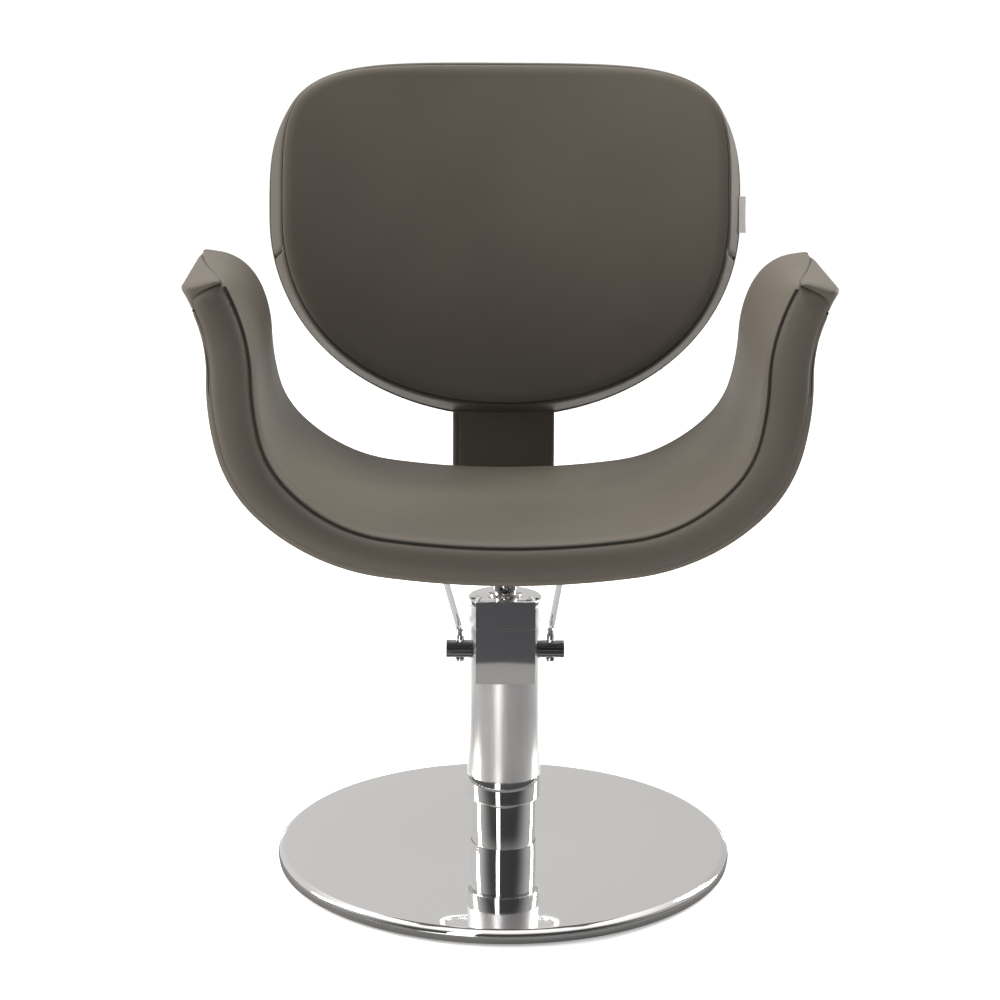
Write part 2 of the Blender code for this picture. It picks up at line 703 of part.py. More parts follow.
def build_seat_mounting(cover, shell):
    plate_top = SEAT_PLATE_BOTTOM_Z + SEAT_PLATE_THICKNESS
    bore = ROD_RADIUS + GAP
    bore_top = SEAT_PLATE_BOTTOM_Z - 0.0028
    hub_top = SEAT_PLATE_BOTTOM_Z - GAP
    hub = [
        (0, hub_top), (0.031, hub_top), (0.031, hub_top - 0.006), (0.025, HUB_BOTTOM_Z + 0.002),
        (0.023, HUB_BOTTOM_Z), (bore, HUB_BOTTOM_Z), (bore, bore_top), (0, bore_top),
    ]
    add_turned("swivel_hub", hub, "steel", 32, closed=False)
    plate = add_block(
        "seat_plate", (-SEAT_PLATE_WIDTH / 2, -SEAT_PLATE_LENGTH / 2, SEAT_PLATE_BOTTOM_Z),
        (SEAT_PLATE_WIDTH / 2, SEAT_PLATE_LENGTH / 2, plate_top), "steel", 0.0015,
    )
    rails = {}
    for side, label in ((-1, "left"), (1, "right")):
        def place(u, v, w, side=side):
            x = side * mix(RAIL_INNER_X, RAIL_OUTER_X, u)
            y = mix(-0.095, 0.095, v)
            return Vector((x, y, mix(plate_top + GAP, seat_underside(x, y) - 2 * GAP, w)))
        rails[side] = add_slab(f"seat_rail_{label}", 4, 4, place, "steel")

    hole = BOLT_RADIUS + BOLT_CLEARANCE
    number = 0
    for side in (-1, 1):
        for y in (-SEAT_BOLT_Y, SEAT_BOLT_Y):
            number += 1
            x = side * SEAT_BOLT_X
            top = seat_underside(x, y) + 0.0180
            start = SEAT_PLATE_BOTTOM_Z - GAP
            for target in (plate, rails[side], cover, shell):
                cut_bar(
                    target, f"{target.name}_bolt_{number}", hole,
                    (x, y, start - 0.01), (x, y, top + 0.0012), 12,
                )
            add_bolt(f"seat_bolt_{number}", (x, y, start), (0, 0, 1), 0.0065, 0.007, top - start, "steel")
    return plate


# Backrest -------------------------------------------------------------------------------------

LEAN_UP = Vector((0, math.sin(BACK_LEAN), math.cos(BACK_LEAN)))
LEAN_REAR = Vector((0, math.cos(BACK_LEAN), -math.sin(BACK_LEAN)))


def back_point(across, up, depth):
    """A point of the backrest: across its wrapped front face, up its lean, and depth behind that face."""
    angle = across / BACK_RADIUS
    wrap = Vector(((BACK_RADIUS + depth) * math.sin(angle), BACK_RADIUS * (math.cos(angle) - 1), 0))
    return BACK_CENTRE + wrap + LEAN_REAR * depth * math.cos(angle) + LEAN_UP * up


def back_outline(angle, depth, inset):
    """The outline at an angle from +X, as (across, up), at a depth and drawn in by the inset."""
    upper = math.sin(angle) >= 0
    if upper:
        power = BACK_UP_POWER - BACK_UP_EASING * depth
    else:
        power = BACK_DOWN_POWER - BACK_DOWN_EASING * depth
    height = BACK_UP if upper else BACK_DOWN + BACK_FLARE * depth
    width = BACK_HALF_WIDTH - inset
    height -= inset
    reach = (
        (abs(math.cos(angle)) / width) ** power + (abs(math.sin(angle)) / height) ** power
    ) ** (-1 / power)
    return reach * math.cos(angle), reach * math.sin(angle)


def add_back_layer(name, front, rear, inset, cells, finish, crown=0.0):
    """An oval layer of the backrest between two depths; the crown swells its front face."""
    def place(u, v, w):
        a, b = 2 * u - 1, 2 * v - 1
        share = max(abs(a), abs(b))
        depth = mix(front, rear, w)
        if share == 0:
            across, up = 0.0, 0.0
        else:
            edge_across, edge_up = back_outline(math.atan2(b, a), depth, inset)
            across, up = share * edge_across, share * edge_up
        swell = crown * (1 - share ** 3) * (1 - w)
        return back_point(across, up, depth - swell)
    return add_slab(name, cells, cells, place, finish)


def add_back_strip(name, start, end, columns, finish):
    """A stretch of the side strip between two outline angles."""
    def place(u, v, w):
        depth = mix(0.002, BACK_THICKNESS - 0.002, v)
        across, up = back_outline(mix(start, end, u), depth, mix(BACK_STRIP - STRIP_CLEARANCE, 0.0, w))
        return back_point(across, up, depth)
    return add_slab(name, columns, 2, place, finish)


def bracket_line():
    """The bracket's centre line as (y, z) points with their headings, from under the seat to the back."""
    top = back_point(0, BRACKET_TOP_B, BRACKET_DEPTH_IN_BACK)
    drop = (top.z - BRACKET_LEG_Z) / LEAN_UP.z
    corner_y = top.y - drop * LEAN_UP.y
    turn = math.pi / 2 - BACK_LEAN
    reach = BRACKET_BEND * math.tan(turn / 2)
    count = 10
    line = [(BRACKET_FRONT_Y, BRACKET_LEG_Z, 0.0)]
    for index in range(count + 1):
        heading = turn * index / count
        y = corner_y - reach + BRACKET_BEND * math.sin(heading)
        z = BRACKET_LEG_Z + BRACKET_BEND * (1 - math.cos(heading))
        line.append((y, z, heading))
    line.append((top.y, top.z, turn))
    return line


def bracket_slab(line, width, thickness):
    """A flat bar bent along a line: u runs along it, v across it and w through it."""
    def place(u, v, w):
        y, z, heading = line[round(u * (len(line) - 1))]
        off = (w - 0.5) * thickness
        return Vector(((v - 0.5) * width, y - off * math.sin(heading), z + off * math.cos(heading)))
    return slab_builder(len(line) - 1, 1, place)


def build_bracket():
    line = bracket_line()
    bracket = add_piece("back_bracket", bracket_slab(line, BRACKET_WIDTH, BRACKET_THICKNESS), "steel")
    sleeve_top = back_point(0, -(BACK_DOWN + 0.0185), BRACKET_DEPTH_IN_BACK)
    covered = [point for point in line[1:-1]] + [(sleeve_top.y, sleeve_top.z, line[-1][2])]
    sleeve = add_piece("bracket_sleeve", bracket_slab(covered, SLEEVE_WIDTH, SLEEVE_THICKNESS), "leather")
    room = 2 * GAP
    combine(
        sleeve,
        add_cutter("sleeve_room", bracket_slab(line, BRACKET_WIDTH + room, BRACKET_THICKNESS + room)),
        "DIFFERENCE",
    )
    return bracket


def build_back(plate):
    bracket = build_bracket()
    inset = BACK_STRIP
    add_back_layer("back_pad", 0.0, 0.0232, inset, 12, "leather", crown=0.012)
    shell = add_back_layer("back_shell", 0.0236, 0.0338, inset, 12, "plywood")
    add_back_layer("back_rear_cover", 0.0436, BACK_THICKNESS, inset, 12, "leather")

    joint = math.atan2(STRIP_JOINT_HEIGHT, BACK_HALF_WIDTH)
    spare = 0.001
    add_back_strip("back_strip_upper", joint + spare, math.pi - joint - spare, 64, "leather_band")
    lower_start, lower_end = math.pi - joint + spare, 2 * math.pi + joint - spare
    lower = add_back_strip("back_strip_lower", lower_start, lower_end, 56, "leather_band")
    passage = bracket_slab(bracket_line(), BRACKET_WIDTH + 0.003, BRACKET_THICKNESS + 0.003)
    combine(lower, add_cutter("bracket_passage", passage), "DIFFERENCE")

    screw_radius = 0.003
    for side, label in ((-1, "left"), (1, "right")):
        x = side * 0.030
        head_seat = back_point(0, -0.130, BRACKET_DEPTH_IN_BACK + BRACKET_THICKNESS / 2 + GAP)
        seat = head_seat + Vector((x, 0, 0))
        tip = seat - LEAN_REAR * 0.0155
        for target in (bracket, shell):
            cut_bar(
                target, f"{target.name}_screw_{label}", screw_radius + BOLT_CLEARANCE,
                seat + LEAN_REAR * 0.002, tip - LEAN_REAR * 0.0004, 16,
            )
        add_bolt(
            f"back_screw_{label}", seat, -LEAN_REAR, 0.006, 0.0016, 0.0150, "steel", screw_radius
        )

    plate_under = SEAT_PLATE_BOTTOM_Z - GAP
    for side, label in ((-1, "left"), (1, "right")):
        x, y = side * 0.036, 0.080
        top = BRACKET_LEG_Z + BRACKET_THICKNESS / 2 + 0.001
        for target in (plate, bracket):
            cut_bar(
                target, f"{target.name}_bracket_bolt_{label}", BOLT_RADIUS + BOLT_CLEARANCE,
                (x, y, plate_under - 0.01), (x, y, top + 0.01), 12,
            )
        add_bolt(
            f"bracket_bolt_{label}", (x, y, plate_under), (0, 0, 1), 0.0065, 0.007,
            top - plate_under, "steel",
        )
    build_tab()


def build_tab():
    """A small plain fabric tab sewn into the right-hand edge."""
    height = 0.050
    reach = 0.009
    thickness = 0.0012
    root = back_point(BACK_HALF_WIDTH, 0.004, BACK_THICKNESS - 0.010) + Vector((3 * GAP, 0, 0))
    outward = Vector((1, 0.10, 0)).normalized()
    forward = Vector((outward.y, -outward.x, 0))

    def place(u, v, w):
        return root + outward * reach * u + LEAN_UP * height * (v - 0.5) + forward * thickness * w
    add_slab("side_tab", 2, 4, place, "label")


def build_chair():
    flange_top = build_base()
    build_column(flange_top)
    build_lift()
    build_pump()
    build_pedal()
    build_seat()
    build_back(bpy.data.objects["seat_plate"])


build_chair()
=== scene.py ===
"""Looks of the salon styling chair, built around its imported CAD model.

Metres, +Z up, the sitter faces -Y. Every piece lies where the CAD solid that it stands for lies.
"""

import json
import math

import bmesh
import bpy
import numpy as np
from mathutils import Matrix, Vector


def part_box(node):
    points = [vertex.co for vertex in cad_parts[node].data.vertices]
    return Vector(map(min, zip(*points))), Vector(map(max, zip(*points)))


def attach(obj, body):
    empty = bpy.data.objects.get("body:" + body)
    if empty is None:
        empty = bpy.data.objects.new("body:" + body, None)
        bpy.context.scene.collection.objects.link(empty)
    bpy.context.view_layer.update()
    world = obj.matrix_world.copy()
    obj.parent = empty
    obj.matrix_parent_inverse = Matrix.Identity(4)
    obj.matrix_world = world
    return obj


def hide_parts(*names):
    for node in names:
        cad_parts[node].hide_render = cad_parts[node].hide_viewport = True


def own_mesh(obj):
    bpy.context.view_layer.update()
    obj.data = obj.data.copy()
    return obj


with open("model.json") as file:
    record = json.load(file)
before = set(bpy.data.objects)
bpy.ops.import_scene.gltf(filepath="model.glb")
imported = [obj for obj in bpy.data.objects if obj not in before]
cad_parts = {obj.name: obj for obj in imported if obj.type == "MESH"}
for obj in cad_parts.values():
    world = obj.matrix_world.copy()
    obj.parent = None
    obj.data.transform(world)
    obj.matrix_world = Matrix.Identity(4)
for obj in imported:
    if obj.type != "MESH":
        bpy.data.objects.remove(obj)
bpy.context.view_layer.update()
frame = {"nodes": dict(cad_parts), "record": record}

# Dimensions

SEAT_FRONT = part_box("seat_front_band")[0].y
SEAT_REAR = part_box("seat_rear_band")[1].y
ARM_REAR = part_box("arm_cap_right")[1].y
SEAT_CENTRE_Z = 0.4496  # middle of the ribbon's thickness at the front centre
SEAT_THICKNESS = 0.0444
ARM_THICKNESS = 0.0500
TIP_THICKNESS = 0.0440
SEAT_TILT = 0.0245  # fall towards the rear, per metre
SEAT_SPLAY = 0.12  # widening towards the rear, per metre
TIP_SHEAR_LENGTH = 0.060
SEAT_ARCS = ((1.000, 8.0), (0.212, 39.0), (0.137, 30.0), (0.306, 14.0), (-0.185, 32.5))
SEAT_HALF = sum(abs(radius) * math.radians(turn) for radius, turn in SEAT_ARCS)

CAP_DROP = 0.028  # how far the arm cap reaches down the outer side
CAP_FRONT_REACH = 0.026  # how far back the cap's rounded front edge starts
CREASE_POWER = 1.35
INNER_RISE = 0.010  # how far the tip's inner front corner stands above its outer one
BAND_HIGH = 0.955  # depth of the front band's inner seam
CAP_RISE, CAP_SINK = 0.0010, 0.0012
STITCH_PITCH = 0.0040
STITCH_SETBACK = 0.0026  # of the stitches behind the cap's front seam
THREAD_RADIUS = 0.0004
PANEL_WALL = 0.003  # thickness of a stuffed panel behind its seams
STUFFING_PRESSURE = 4.0
STUFFING_FRAMES = 20
SETTLING_ROUNDS = 40
SEAM_DEPTH = 0.0022
SEAM_RADIUS = 0.0012
BAND_SEAM_RADIUS = 0.0016
SEAM_SETBACK = 0.0036  # of the front band's seam allowances behind the ribbon's front edge

BACK_RADIUS = 0.75
BACK_HALF_WIDTH = 0.2880
BACK_UP = 0.190
BACK_DOWN = 0.2435
BACK_FLARE = 0.35
BACK_UP_POWER = 4.8
BACK_UP_EASING = 24.0
BACK_DOWN_POWER = 2.1
BACK_DOWN_EASING = 2.0
BACK_THICKNESS = 0.050
BACK_LEAN = math.radians(9.3)
BACK_SEAM_INSET = 0.0024
BACK_CENTRE = np.array((0.0, 0.219, 0.783))
STRIP_JOINT_HEIGHT = -0.045
STRIP_GAP = 0.003  # from the joint's line to each strip's end, as an angle in radians
SLEEVE_THICKNESS = 0.015
SLEEVE_BEND = 0.030

COLUMN_BORE = 0.0383
SLEEVE_WALL = 0.003

LEAN_UP = np.array((0, math.sin(BACK_LEAN), math.cos(BACK_LEAN)))
LEAN_REAR = np.array((0, math.cos(BACK_LEAN), -math.sin(BACK_LEAN)))


# Materials

NOISE_RANGE = (0.3, 0.7)  # most of a noise texture's values lie between these


def ranged(tree, source, values):
    """A node that brings one range of the source, the first two values, to that of the last two."""
    node = tree.nodes.new("ShaderNodeMapRange")
    for index, value in enumerate(values, 1):
        node.inputs[index].default_value = value
    tree.links.new(source, node.inputs[0])
    return node


class Finish:
    """A material with short ways to add textures to it."""

    def __init__(self, name, colour, roughness, metallic=0.0):
        self.material = bpy.data.materials.new(name)
        self.material.use_nodes = True
        self.tree = self.material.node_tree
        self.shader = self.tree.nodes["Principled BSDF"]
        self.shader.inputs["Base Color"].default_value = (*colour, 1.0)
        self.shader.inputs["Roughness"].default_value = roughness
        self.shader.inputs["Metallic"].default_value = metallic
        self.place = self.tree.nodes.new("ShaderNodeTexCoord").outputs["Object"]

    def add(self, kind, **settings):
        node = self.tree.nodes.new(kind)
        for key, value in settings.items():
            if key in node.inputs:
                node.inputs[key].default_value = value
            else:
                setattr(node, key, value)
        return node

    def link(self, source, target):
        self.tree.links.new(source, target)

    def stretched(self, scale):
        mapping = self.add("ShaderNodeMapping", Scale=scale)
        self.link(self.place, mapping.inputs["Vector"])
        return mapping.outputs["Vector"]

    def noise(self, scale, detail=3.0, place=None):
        node = self.add("ShaderNodeTexNoise", Scale=scale, Detail=detail)
        self.link(place or self.place, node.inputs["Vector"])
        return node.outputs["Fac"]

    def cells(self, scale):
        node = self.add("ShaderNodeTexVoronoi", Scale=scale)
        self.link(self.place, node.inputs["Vector"])
        return node.outputs["Distance"]

    def tint(self, source, dark, light):
        """Base colour between two colours."""
        ramp = self.add("ShaderNodeValToRGB")
        for stop, position, colour in zip(ramp.color_ramp.elements, NOISE_RANGE, (dark, light)):
            stop.position = position
            stop.color = (*colour, 1)
        self.link(source, ramp.inputs["Fac"])
        self.link(ramp.outputs["Color"], self.shader.inputs["Base Color"])

    def rough(self, source, low, high):
        spread = ranged(self.tree, source, (*NOISE_RANGE, low, high))
        self.link(spread.outputs[0], self.shader.inputs["Roughness"])

    def bump(self, source, strength, distance, under=None):
        node = self.add("ShaderNodeBump", Strength=strength, Distance=distance)
        self.link(source, node.inputs["Height"])
        if under:
            self.link(under, node.inputs["Normal"])
        self.link(node.outputs["Normal"], self.shader.inputs["Normal"])
        return node.outputs["Normal"]


def make_leather(name, dark, light):
    """Smooth upholstery leather: faint cloudy colour, fine pebbles and small pores."""
    finish = Finish(name, light, 0.57)
    finish.tint(finish.noise(6.0, 1.5), dark, light)
    finish.rough(finish.noise(20.0, 1.0), 0.56, 0.59)
    pebbles = finish.bump(finish.cells(900.0), 0.20, 0.00020)
    finish.bump(finish.noise(2300.0, 2.0), 0.10, 0.00008, pebbles)
    finish.shader.inputs["Specular IOR Level"].default_value = 0.13
    return finish.material


def make_chrome(name, colour, low, high):
    """Polished plate with faint wiping marks."""
    finish = Finish(name, colour, low, 1.0)
    finish.rough(finish.noise(9.0, 6.0, finish.stretched((1, 1, 3))), low, high)
    finish.bump(finish.noise(420.0, 3.0, finish.stretched((1, 1, 0.15))), 0.02, 0.00005)
    return finish.material


def make_brushed(name, dark, light, low, high, lay):
    """Metal with fine tool lines whose spacing runs along the lay's long axis."""
    finish = Finish(name, light, low, 1.0)
    lines = finish.noise(260.0, 4.0, finish.stretched(lay))
    finish.tint(lines, dark, light)
    finish.rough(lines, low, high)
    finish.bump(lines, 0.06, 0.00006)
    return finish.material


def make_satin():
    """Satin anodised tube: fine upright grain and a pale body."""
    finish = Finish("satin_aluminium_tube", (0.74, 0.74, 0.75), 0.34, 0.82)
    grain = finish.noise(900.0, 3.0, finish.stretched((1, 1, 0.02)))
    finish.tint(grain, (0.70, 0.70, 0.71), (0.78, 0.78, 0.79))
    finish.rough(grain, 0.30, 0.38)
    finish.bump(grain, 0.03, 0.00004)
    return finish.material


def make_rubber():
    finish = Finish("black_rubber", (0.018, 0.018, 0.018), 0.72)
    finish.rough(finish.noise(60.0, 4.0), 0.62, 0.82)
    finish.bump(finish.noise(900.0, 3.0), 0.3, 0.0002)
    return finish.material


def make_thread():
    """Sewing thread, with the twist of its plies."""
    finish = Finish("sewing_thread", (0.05, 0.046, 0.040), 0.75)
    finish.bump(finish.noise(2600.0, 2.0), 0.5, 0.0002)
    finish.rough(finish.noise(800.0), 0.65, 0.85)
    return finish.material


def make_plywood():
    finish = Finish("plywood", (0.50, 0.36, 0.22), 0.6)
    grain = finish.noise(14.0, 8.0, finish.stretched((0.2, 3.0, 3.0)))
    finish.tint(grain, (0.36, 0.24, 0.13), (0.56, 0.41, 0.26))
    finish.bump(finish.noise(120.0, 6.0, finish.stretched((0.1, 2.0, 2.0))), 0.3, 0.0003)
    return finish.material


def make_woven_tab():
    """Plain woven tape, drawn with one set of fine ribs."""
    finish = Finish("woven_tape", (0.56, 0.56, 0.57), 0.85)
    ribs = finish.add("ShaderNodeTexWave", Scale=420.0, Distortion=0.4, bands_direction="Z")
    finish.link(finish.place, ribs.inputs["Vector"])
    finish.tint(ribs.outputs["Fac"], (0.42, 0.42, 0.43), (0.66, 0.66, 0.67))
    finish.bump(ribs.outputs["Fac"], 0.5, 0.0003)
    return finish.material


LEATHER = make_leather("taupe_leather", (0.078, 0.069, 0.058), (0.086, 0.077, 0.064))
# A darker copy of the same taupe leather: painted shade of the front-facing band, shared by the rear roll,
# side strips and sleeve.
SHADED_BAND_LEATHER = make_leather("taupe_leather_painted_shade", (0.060, 0.053, 0.045), (0.067, 0.060, 0.050))
# Near-black leather for the seam tubes: painted shade of the grooves at the seams.
SEAM_SHADE_LEATHER = make_leather("seam_painted_shade", (0.020, 0.018, 0.015), (0.028, 0.025, 0.021))
CHROME = make_chrome("polished_chrome", (0.82, 0.82, 0.82), 0.025, 0.060)
DARK_CHROME = make_chrome("dark_polished_plate", (0.22, 0.22, 0.23), 0.10, 0.17)
SATIN = make_satin()
STEEL = make_brushed("plain_steel", (0.34, 0.34, 0.35), (0.44, 0.44, 0.45), 0.34, 0.46, (4, 0.1, 0.4))
BRONZE = make_brushed("bush_bronze", (0.46, 0.32, 0.16), (0.60, 0.44, 0.24), 0.30, 0.42, (0.1, 0.1, 4))
RUBBER = make_rubber()
THREAD = make_thread()
TAPE = make_woven_tab()
PLYWOOD = make_plywood()

SLOT_MATERIALS = {
    "mirror_chrome": CHROME, "dark_chrome": DARK_CHROME, "satin_aluminium": SATIN, "steel": STEEL,
    "bronze": BRONZE, "rubber": RUBBER, "leather": LEATHER, "leather_band": SHADED_BAND_LEATHER,
    "plywood": PLYWOOD, "label": TAPE,
}


def dress_frame():
    """Every CAD node takes the finish of its record slot."""
    for part in frame["record"]["subparts"]:
        node = frame["nodes"][part["node"]]
        for held in node.material_slots:
            held.material = SLOT_MATERIALS[part["material_slot"]]


# Mesh helpers

def mix(low, high, share):
    return low + (high - low) * share


def smooth_step(low, high, value):
    share = np.clip((value - low) / (high - low), 0.0, 1.0)
    return share * share * (3 - 2 * share)


def crowded(count, bias=0.8):
    """Numbers from 0 to 1 that stand closer together near both ends."""
    even = np.linspace(0.0, 1.0, count)
    return mix(even, (1 - np.cos(math.pi * even)) / 2, bias)


def add_object(name, data):
    made = bpy.data.objects.new(name, data)
    bpy.context.scene.collection.objects.link(made)
    return made


def add_mesh(name, verts, faces, slot, node=None, body="seat", material=None):
    """A smooth piece that may stand for a CAD node, in its slot's material unless another is given."""
    mesh = bpy.data.meshes.new(name)
    mesh.from_pydata([tuple(vert) for vert in verts], [], faces)
    mesh.validate()
    mesh.shade_smooth()
    mesh.materials.append(material or SLOT_MATERIALS[slot])
    return place_piece(add_object(name, mesh), node, body)


def place_piece(piece, node, body):
    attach(piece, body)
    if node:
        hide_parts(node)
    return piece


def sharpen(piece, degrees):
    piece.data.set_sharp_from_angle(angle=math.radians(degrees))
    return piece


def grid_faces(rows, columns, start=0, flip=False, wrap=False):
    faces = []
    for row in range(rows - 1):
        for column in range(columns if wrap else columns - 1):
            after = (column + 1) % columns
            a, b = start + row * columns + column, start + row * columns + after
            c, d = b + columns, a + columns
            faces.append((a, d, c, b) if flip else (a, b, c, d))
    return faces


def grid_normals(grid):
    normals = np.cross(np.gradient(grid, axis=1), np.gradient(grid, axis=0))
    return normals / np.maximum(np.linalg.norm(normals, axis=2, keepdims=True), 1e-12)


def run_lengths(grid, axis):
    """Distance of each point from the first one in its row (axis 1) or column (axis 0)."""
    steps = np.linalg.norm(np.diff(grid, axis=axis), axis=2)
    lengths = np.cumsum(steps, axis=axis)
    pad = [(1, 0), (0, 0)] if axis == 0 else [(0, 0), (1, 0)]
    return np.pad(lengths, pad)


def roll(distance, radius):
    """0 at a seam, 1 beyond the radius, following a quarter circle."""
    share = np.clip(distance / radius, 0.0, 1.0)
    return np.sqrt(np.maximum(0.0, 1 - (1 - share) ** 2))


def seam_rolls(grid, row_ends, column_ends):
    """How much of the stuffing's height stands at each point: it rolls down to the seams at the ends."""
    fade = np.ones(grid.shape[:2])
    for axis, (near, far) in ((0, row_ends), (1, column_ends)):
        lengths = run_lengths(grid, axis)
        whole = lengths.max(axis=axis, keepdims=True)
        fade = fade * roll(lengths, near) * roll(whole - lengths, far)
    return fade


def panel_face(grid, rise, sink, fade, side):
    """A panel's face: it stands at the rise above the grid and rolls down to the sink at its seams."""
    return grid + side * grid_normals(grid) * (-sink + (rise + sink) * fade)[..., None]


def add_panel(name, node, grid, rise, sink, fade, slot="leather", side=1):
    """A closed stuffed panel that stands for a CAD node."""
    front = panel_face(grid, rise, sink, fade, side)
    depth = np.broadcast_to(sink + PANEL_WALL, fade.shape)[..., None]
    rear = grid - side * grid_normals(grid) * depth
    rows, columns = fade.shape
    count = rows * columns
    faces = grid_faces(rows, columns, 0, flip=side < 0)
    faces += grid_faces(rows, columns, count, flip=side > 0)
    rim = list(range(columns))
    rim += [row * columns + columns - 1 for row in range(1, rows)]
    rim += [(rows - 1) * columns + column for column in range(columns - 2, -1, -1)]
    rim += [row * columns for row in range(rows - 2, 0, -1)]
    for first, second in zip(rim, rim[1:] + rim[:1]):
        loop = (second, first, first + count, second + count)
        faces.append(loop if side > 0 else loop[::-1])
    verts = np.concatenate((front.reshape(-1, 3), rear.reshape(-1, 3)))
    piece = add_mesh(name, verts, faces, slot, node)
    return piece


def puff(piece, rows, columns, cap):
    """Let pressure swell a panel from inside, held along its seams, by at most the cap."""
    count = rows * columns
    seams = [
        index for index in range(count)
        if index // columns in (0, rows - 1) or index % columns in (0, columns - 1)
    ]
    held = piece.vertex_groups.new(name="seams")
    held.add(seams + list(range(count, len(piece.data.vertices))), 1.0, "REPLACE")
    cloth = piece.modifiers.new("stuffing", "CLOTH")
    settings = cloth.settings
    settings.quality = 4
    settings.mass = 0.2
    settings.tension_stiffness = 12
    settings.compression_stiffness = 12
    settings.shear_stiffness = 6
    settings.bending_stiffness = 0.5
    settings.use_pressure = True
    settings.uniform_pressure_force = STUFFING_PRESSURE
    settings.vertex_group_mass = held.name
    settings.effector_weights.gravity = 0
    cloth.collision_settings.use_collision = False
    cloth.point_cache.frame_start = 1
    cloth.point_cache.frame_end = STUFFING_FRAMES
    before = np.array([vert.co for vert in piece.data.vertices])
    for step in range(1, STUFFING_FRAMES + 1):
        bpy.context.scene.frame_set(step)
    swollen = piece.evaluated_get(bpy.context.evaluated_depsgraph_get()).data
    shift = np.array([vert.co for vert in swollen.vertices]) - before
    bpy.context.scene.frame_set(1)
    piece.modifiers.clear()
    piece.vertex_groups.clear()
    shift[:count] = settled(shift[:count].reshape(rows, columns, 3)).reshape(count, 3)
    length = np.linalg.norm(shift, axis=1)
    after = before + shift * min(1.0, cap / float(length.max()))
    piece.data.vertices.foreach_set("co", after.ravel())
    piece.data.update()


def settled(shift):
    """The movement of a panel's inner points without its small ripples."""
    for _ in range(SETTLING_ROUNDS):
        mean = (shift[:-2, 1:-1] + shift[2:, 1:-1] + shift[1:-1, :-2] + shift[1:-1, 2:]) / 4
        shift = shift.copy()
        shift[1:-1, 1:-1] = mix(shift[1:-1, 1:-1], mean, 0.7)
    return shift


def subdivide(piece):
    finer = piece.modifiers.new("finer", "SUBSURF")
    finer.levels = finer.render_levels = 1
    apply_modifiers(piece)


def add_tubes(name, routes, radius, material, slot="leather_band", sides=8, closed=False):
    """One piece made of a round tube along each route of points."""
    verts, faces = [], []
    for path in routes:
        path = np.asarray(path, float)
        if closed:
            ahead = np.roll(path, -1, axis=0) - np.roll(path, 1, axis=0)
        else:
            ahead = np.gradient(path, axis=0)
        ahead /= np.maximum(np.linalg.norm(ahead, axis=1, keepdims=True), 1e-12)
        side = np.cross(ahead[0], (0, 0, 1.0) if abs(ahead[0][2]) < 0.9 else (1.0, 0, 0))
        start = len(verts)
        for point, direction in zip(path, ahead):
            side = side - direction * side.dot(direction)
            side /= np.linalg.norm(side)
            up = np.cross(direction, side)
            for index in range(sides):
                angle = 2 * math.pi * index / sides
                verts.append(point + radius * (side * math.cos(angle) + up * math.sin(angle)))
        faces += grid_faces(len(path), sides, start, flip=True, wrap=True)
        last = start + (len(path) - 1) * sides
        if closed:
            for index in range(sides):
                after = (index + 1) % sides
                faces.append((last + index, start + index, start + after, last + after))
        else:
            faces.append(tuple(range(start, start + sides)))
            faces.append(tuple(range(last + sides - 1, last - 1, -1)))
    return add_mesh(name, verts, faces, slot, material=material)


def add_turned(name, node, profile, slot="mirror_chrome", steps=120, body="root"):
    """A turned piece about the column's axis: the profile is a loop of (radius, z)."""
    verts = []
    for index in range(steps):
        angle = 2 * math.pi * index / steps
        for radius, height in profile:
            verts.append((radius * math.cos(angle), radius * math.sin(angle), height))
    count = len(profile)
    faces = []
    for index in range(steps):
        here, after = index * count, (index + 1) % steps * count
        for point in range(count):
            below = (point + 1) % count
            faces.append((here + point, here + below, after + below, after + point))
    return sharpen(add_mesh(name, verts, faces, slot, node, body), 40)


def rounded_section(corners, radii, points=5):
    """A closed outline of (radius, z) corners, each rounded by its own radius."""
    outline = []
    corners = [Vector(corner) for corner in corners]
    for index, (corner, radius) in enumerate(zip(corners, radii)):
        if radius == 0:
            outline.append(tuple(corner))
            continue
        before = (corners[index - 1] - corner).normalized()
        after = (corners[(index + 1) % len(corners)] - corner).normalized()
        half = before.angle(after) / 2
        reach = radius / math.tan(half)
        centre = corner + (before + after).normalized() * (radius / math.sin(half))
        start, end = corner + before * reach - centre, corner + after * reach - centre
        sweep = start.angle_signed(end)
        for step in range(points + 1):
            angle = -sweep * step / points
            turned = Vector((
                start.x * math.cos(angle) - start.y * math.sin(angle),
                start.x * math.sin(angle) + start.y * math.cos(angle),
            ))
            outline.append(tuple(centre + turned))
    return outline


def ring_section(inner, outer, low, high, edge):
    """Outline of a tube's wall with rounded outer edges."""
    corners = [(inner, low), (outer, low), (outer, high), (inner, high)]
    return rounded_section(corners, [0, edge, edge, 0])


# Seat

def ribbon_line(distance):
    """Place and heading of the ribbon's middle line, a distance from its centre."""
    x, z, heading = 0.0, SEAT_CENTRE_Z, 0.0
    for radius, turn in SEAT_ARCS:
        run = min(distance, abs(radius) * math.radians(turn))
        after = heading + run / radius
        x += radius * (math.sin(after) - math.sin(heading))
        z += radius * (math.cos(heading) - math.cos(after))
        heading = after
        distance -= run
        if distance <= 0:
            break
    return x, z, heading


TIP_HEADING = ribbon_line(SEAT_HALF)[2]


def seat_thickness(share):
    arm = mix(SEAT_THICKNESS, ARM_THICKNESS, smooth_step(0.30, 0.62, share))
    return mix(arm, TIP_THICKNESS, smooth_step(0.72, 1.0, share))


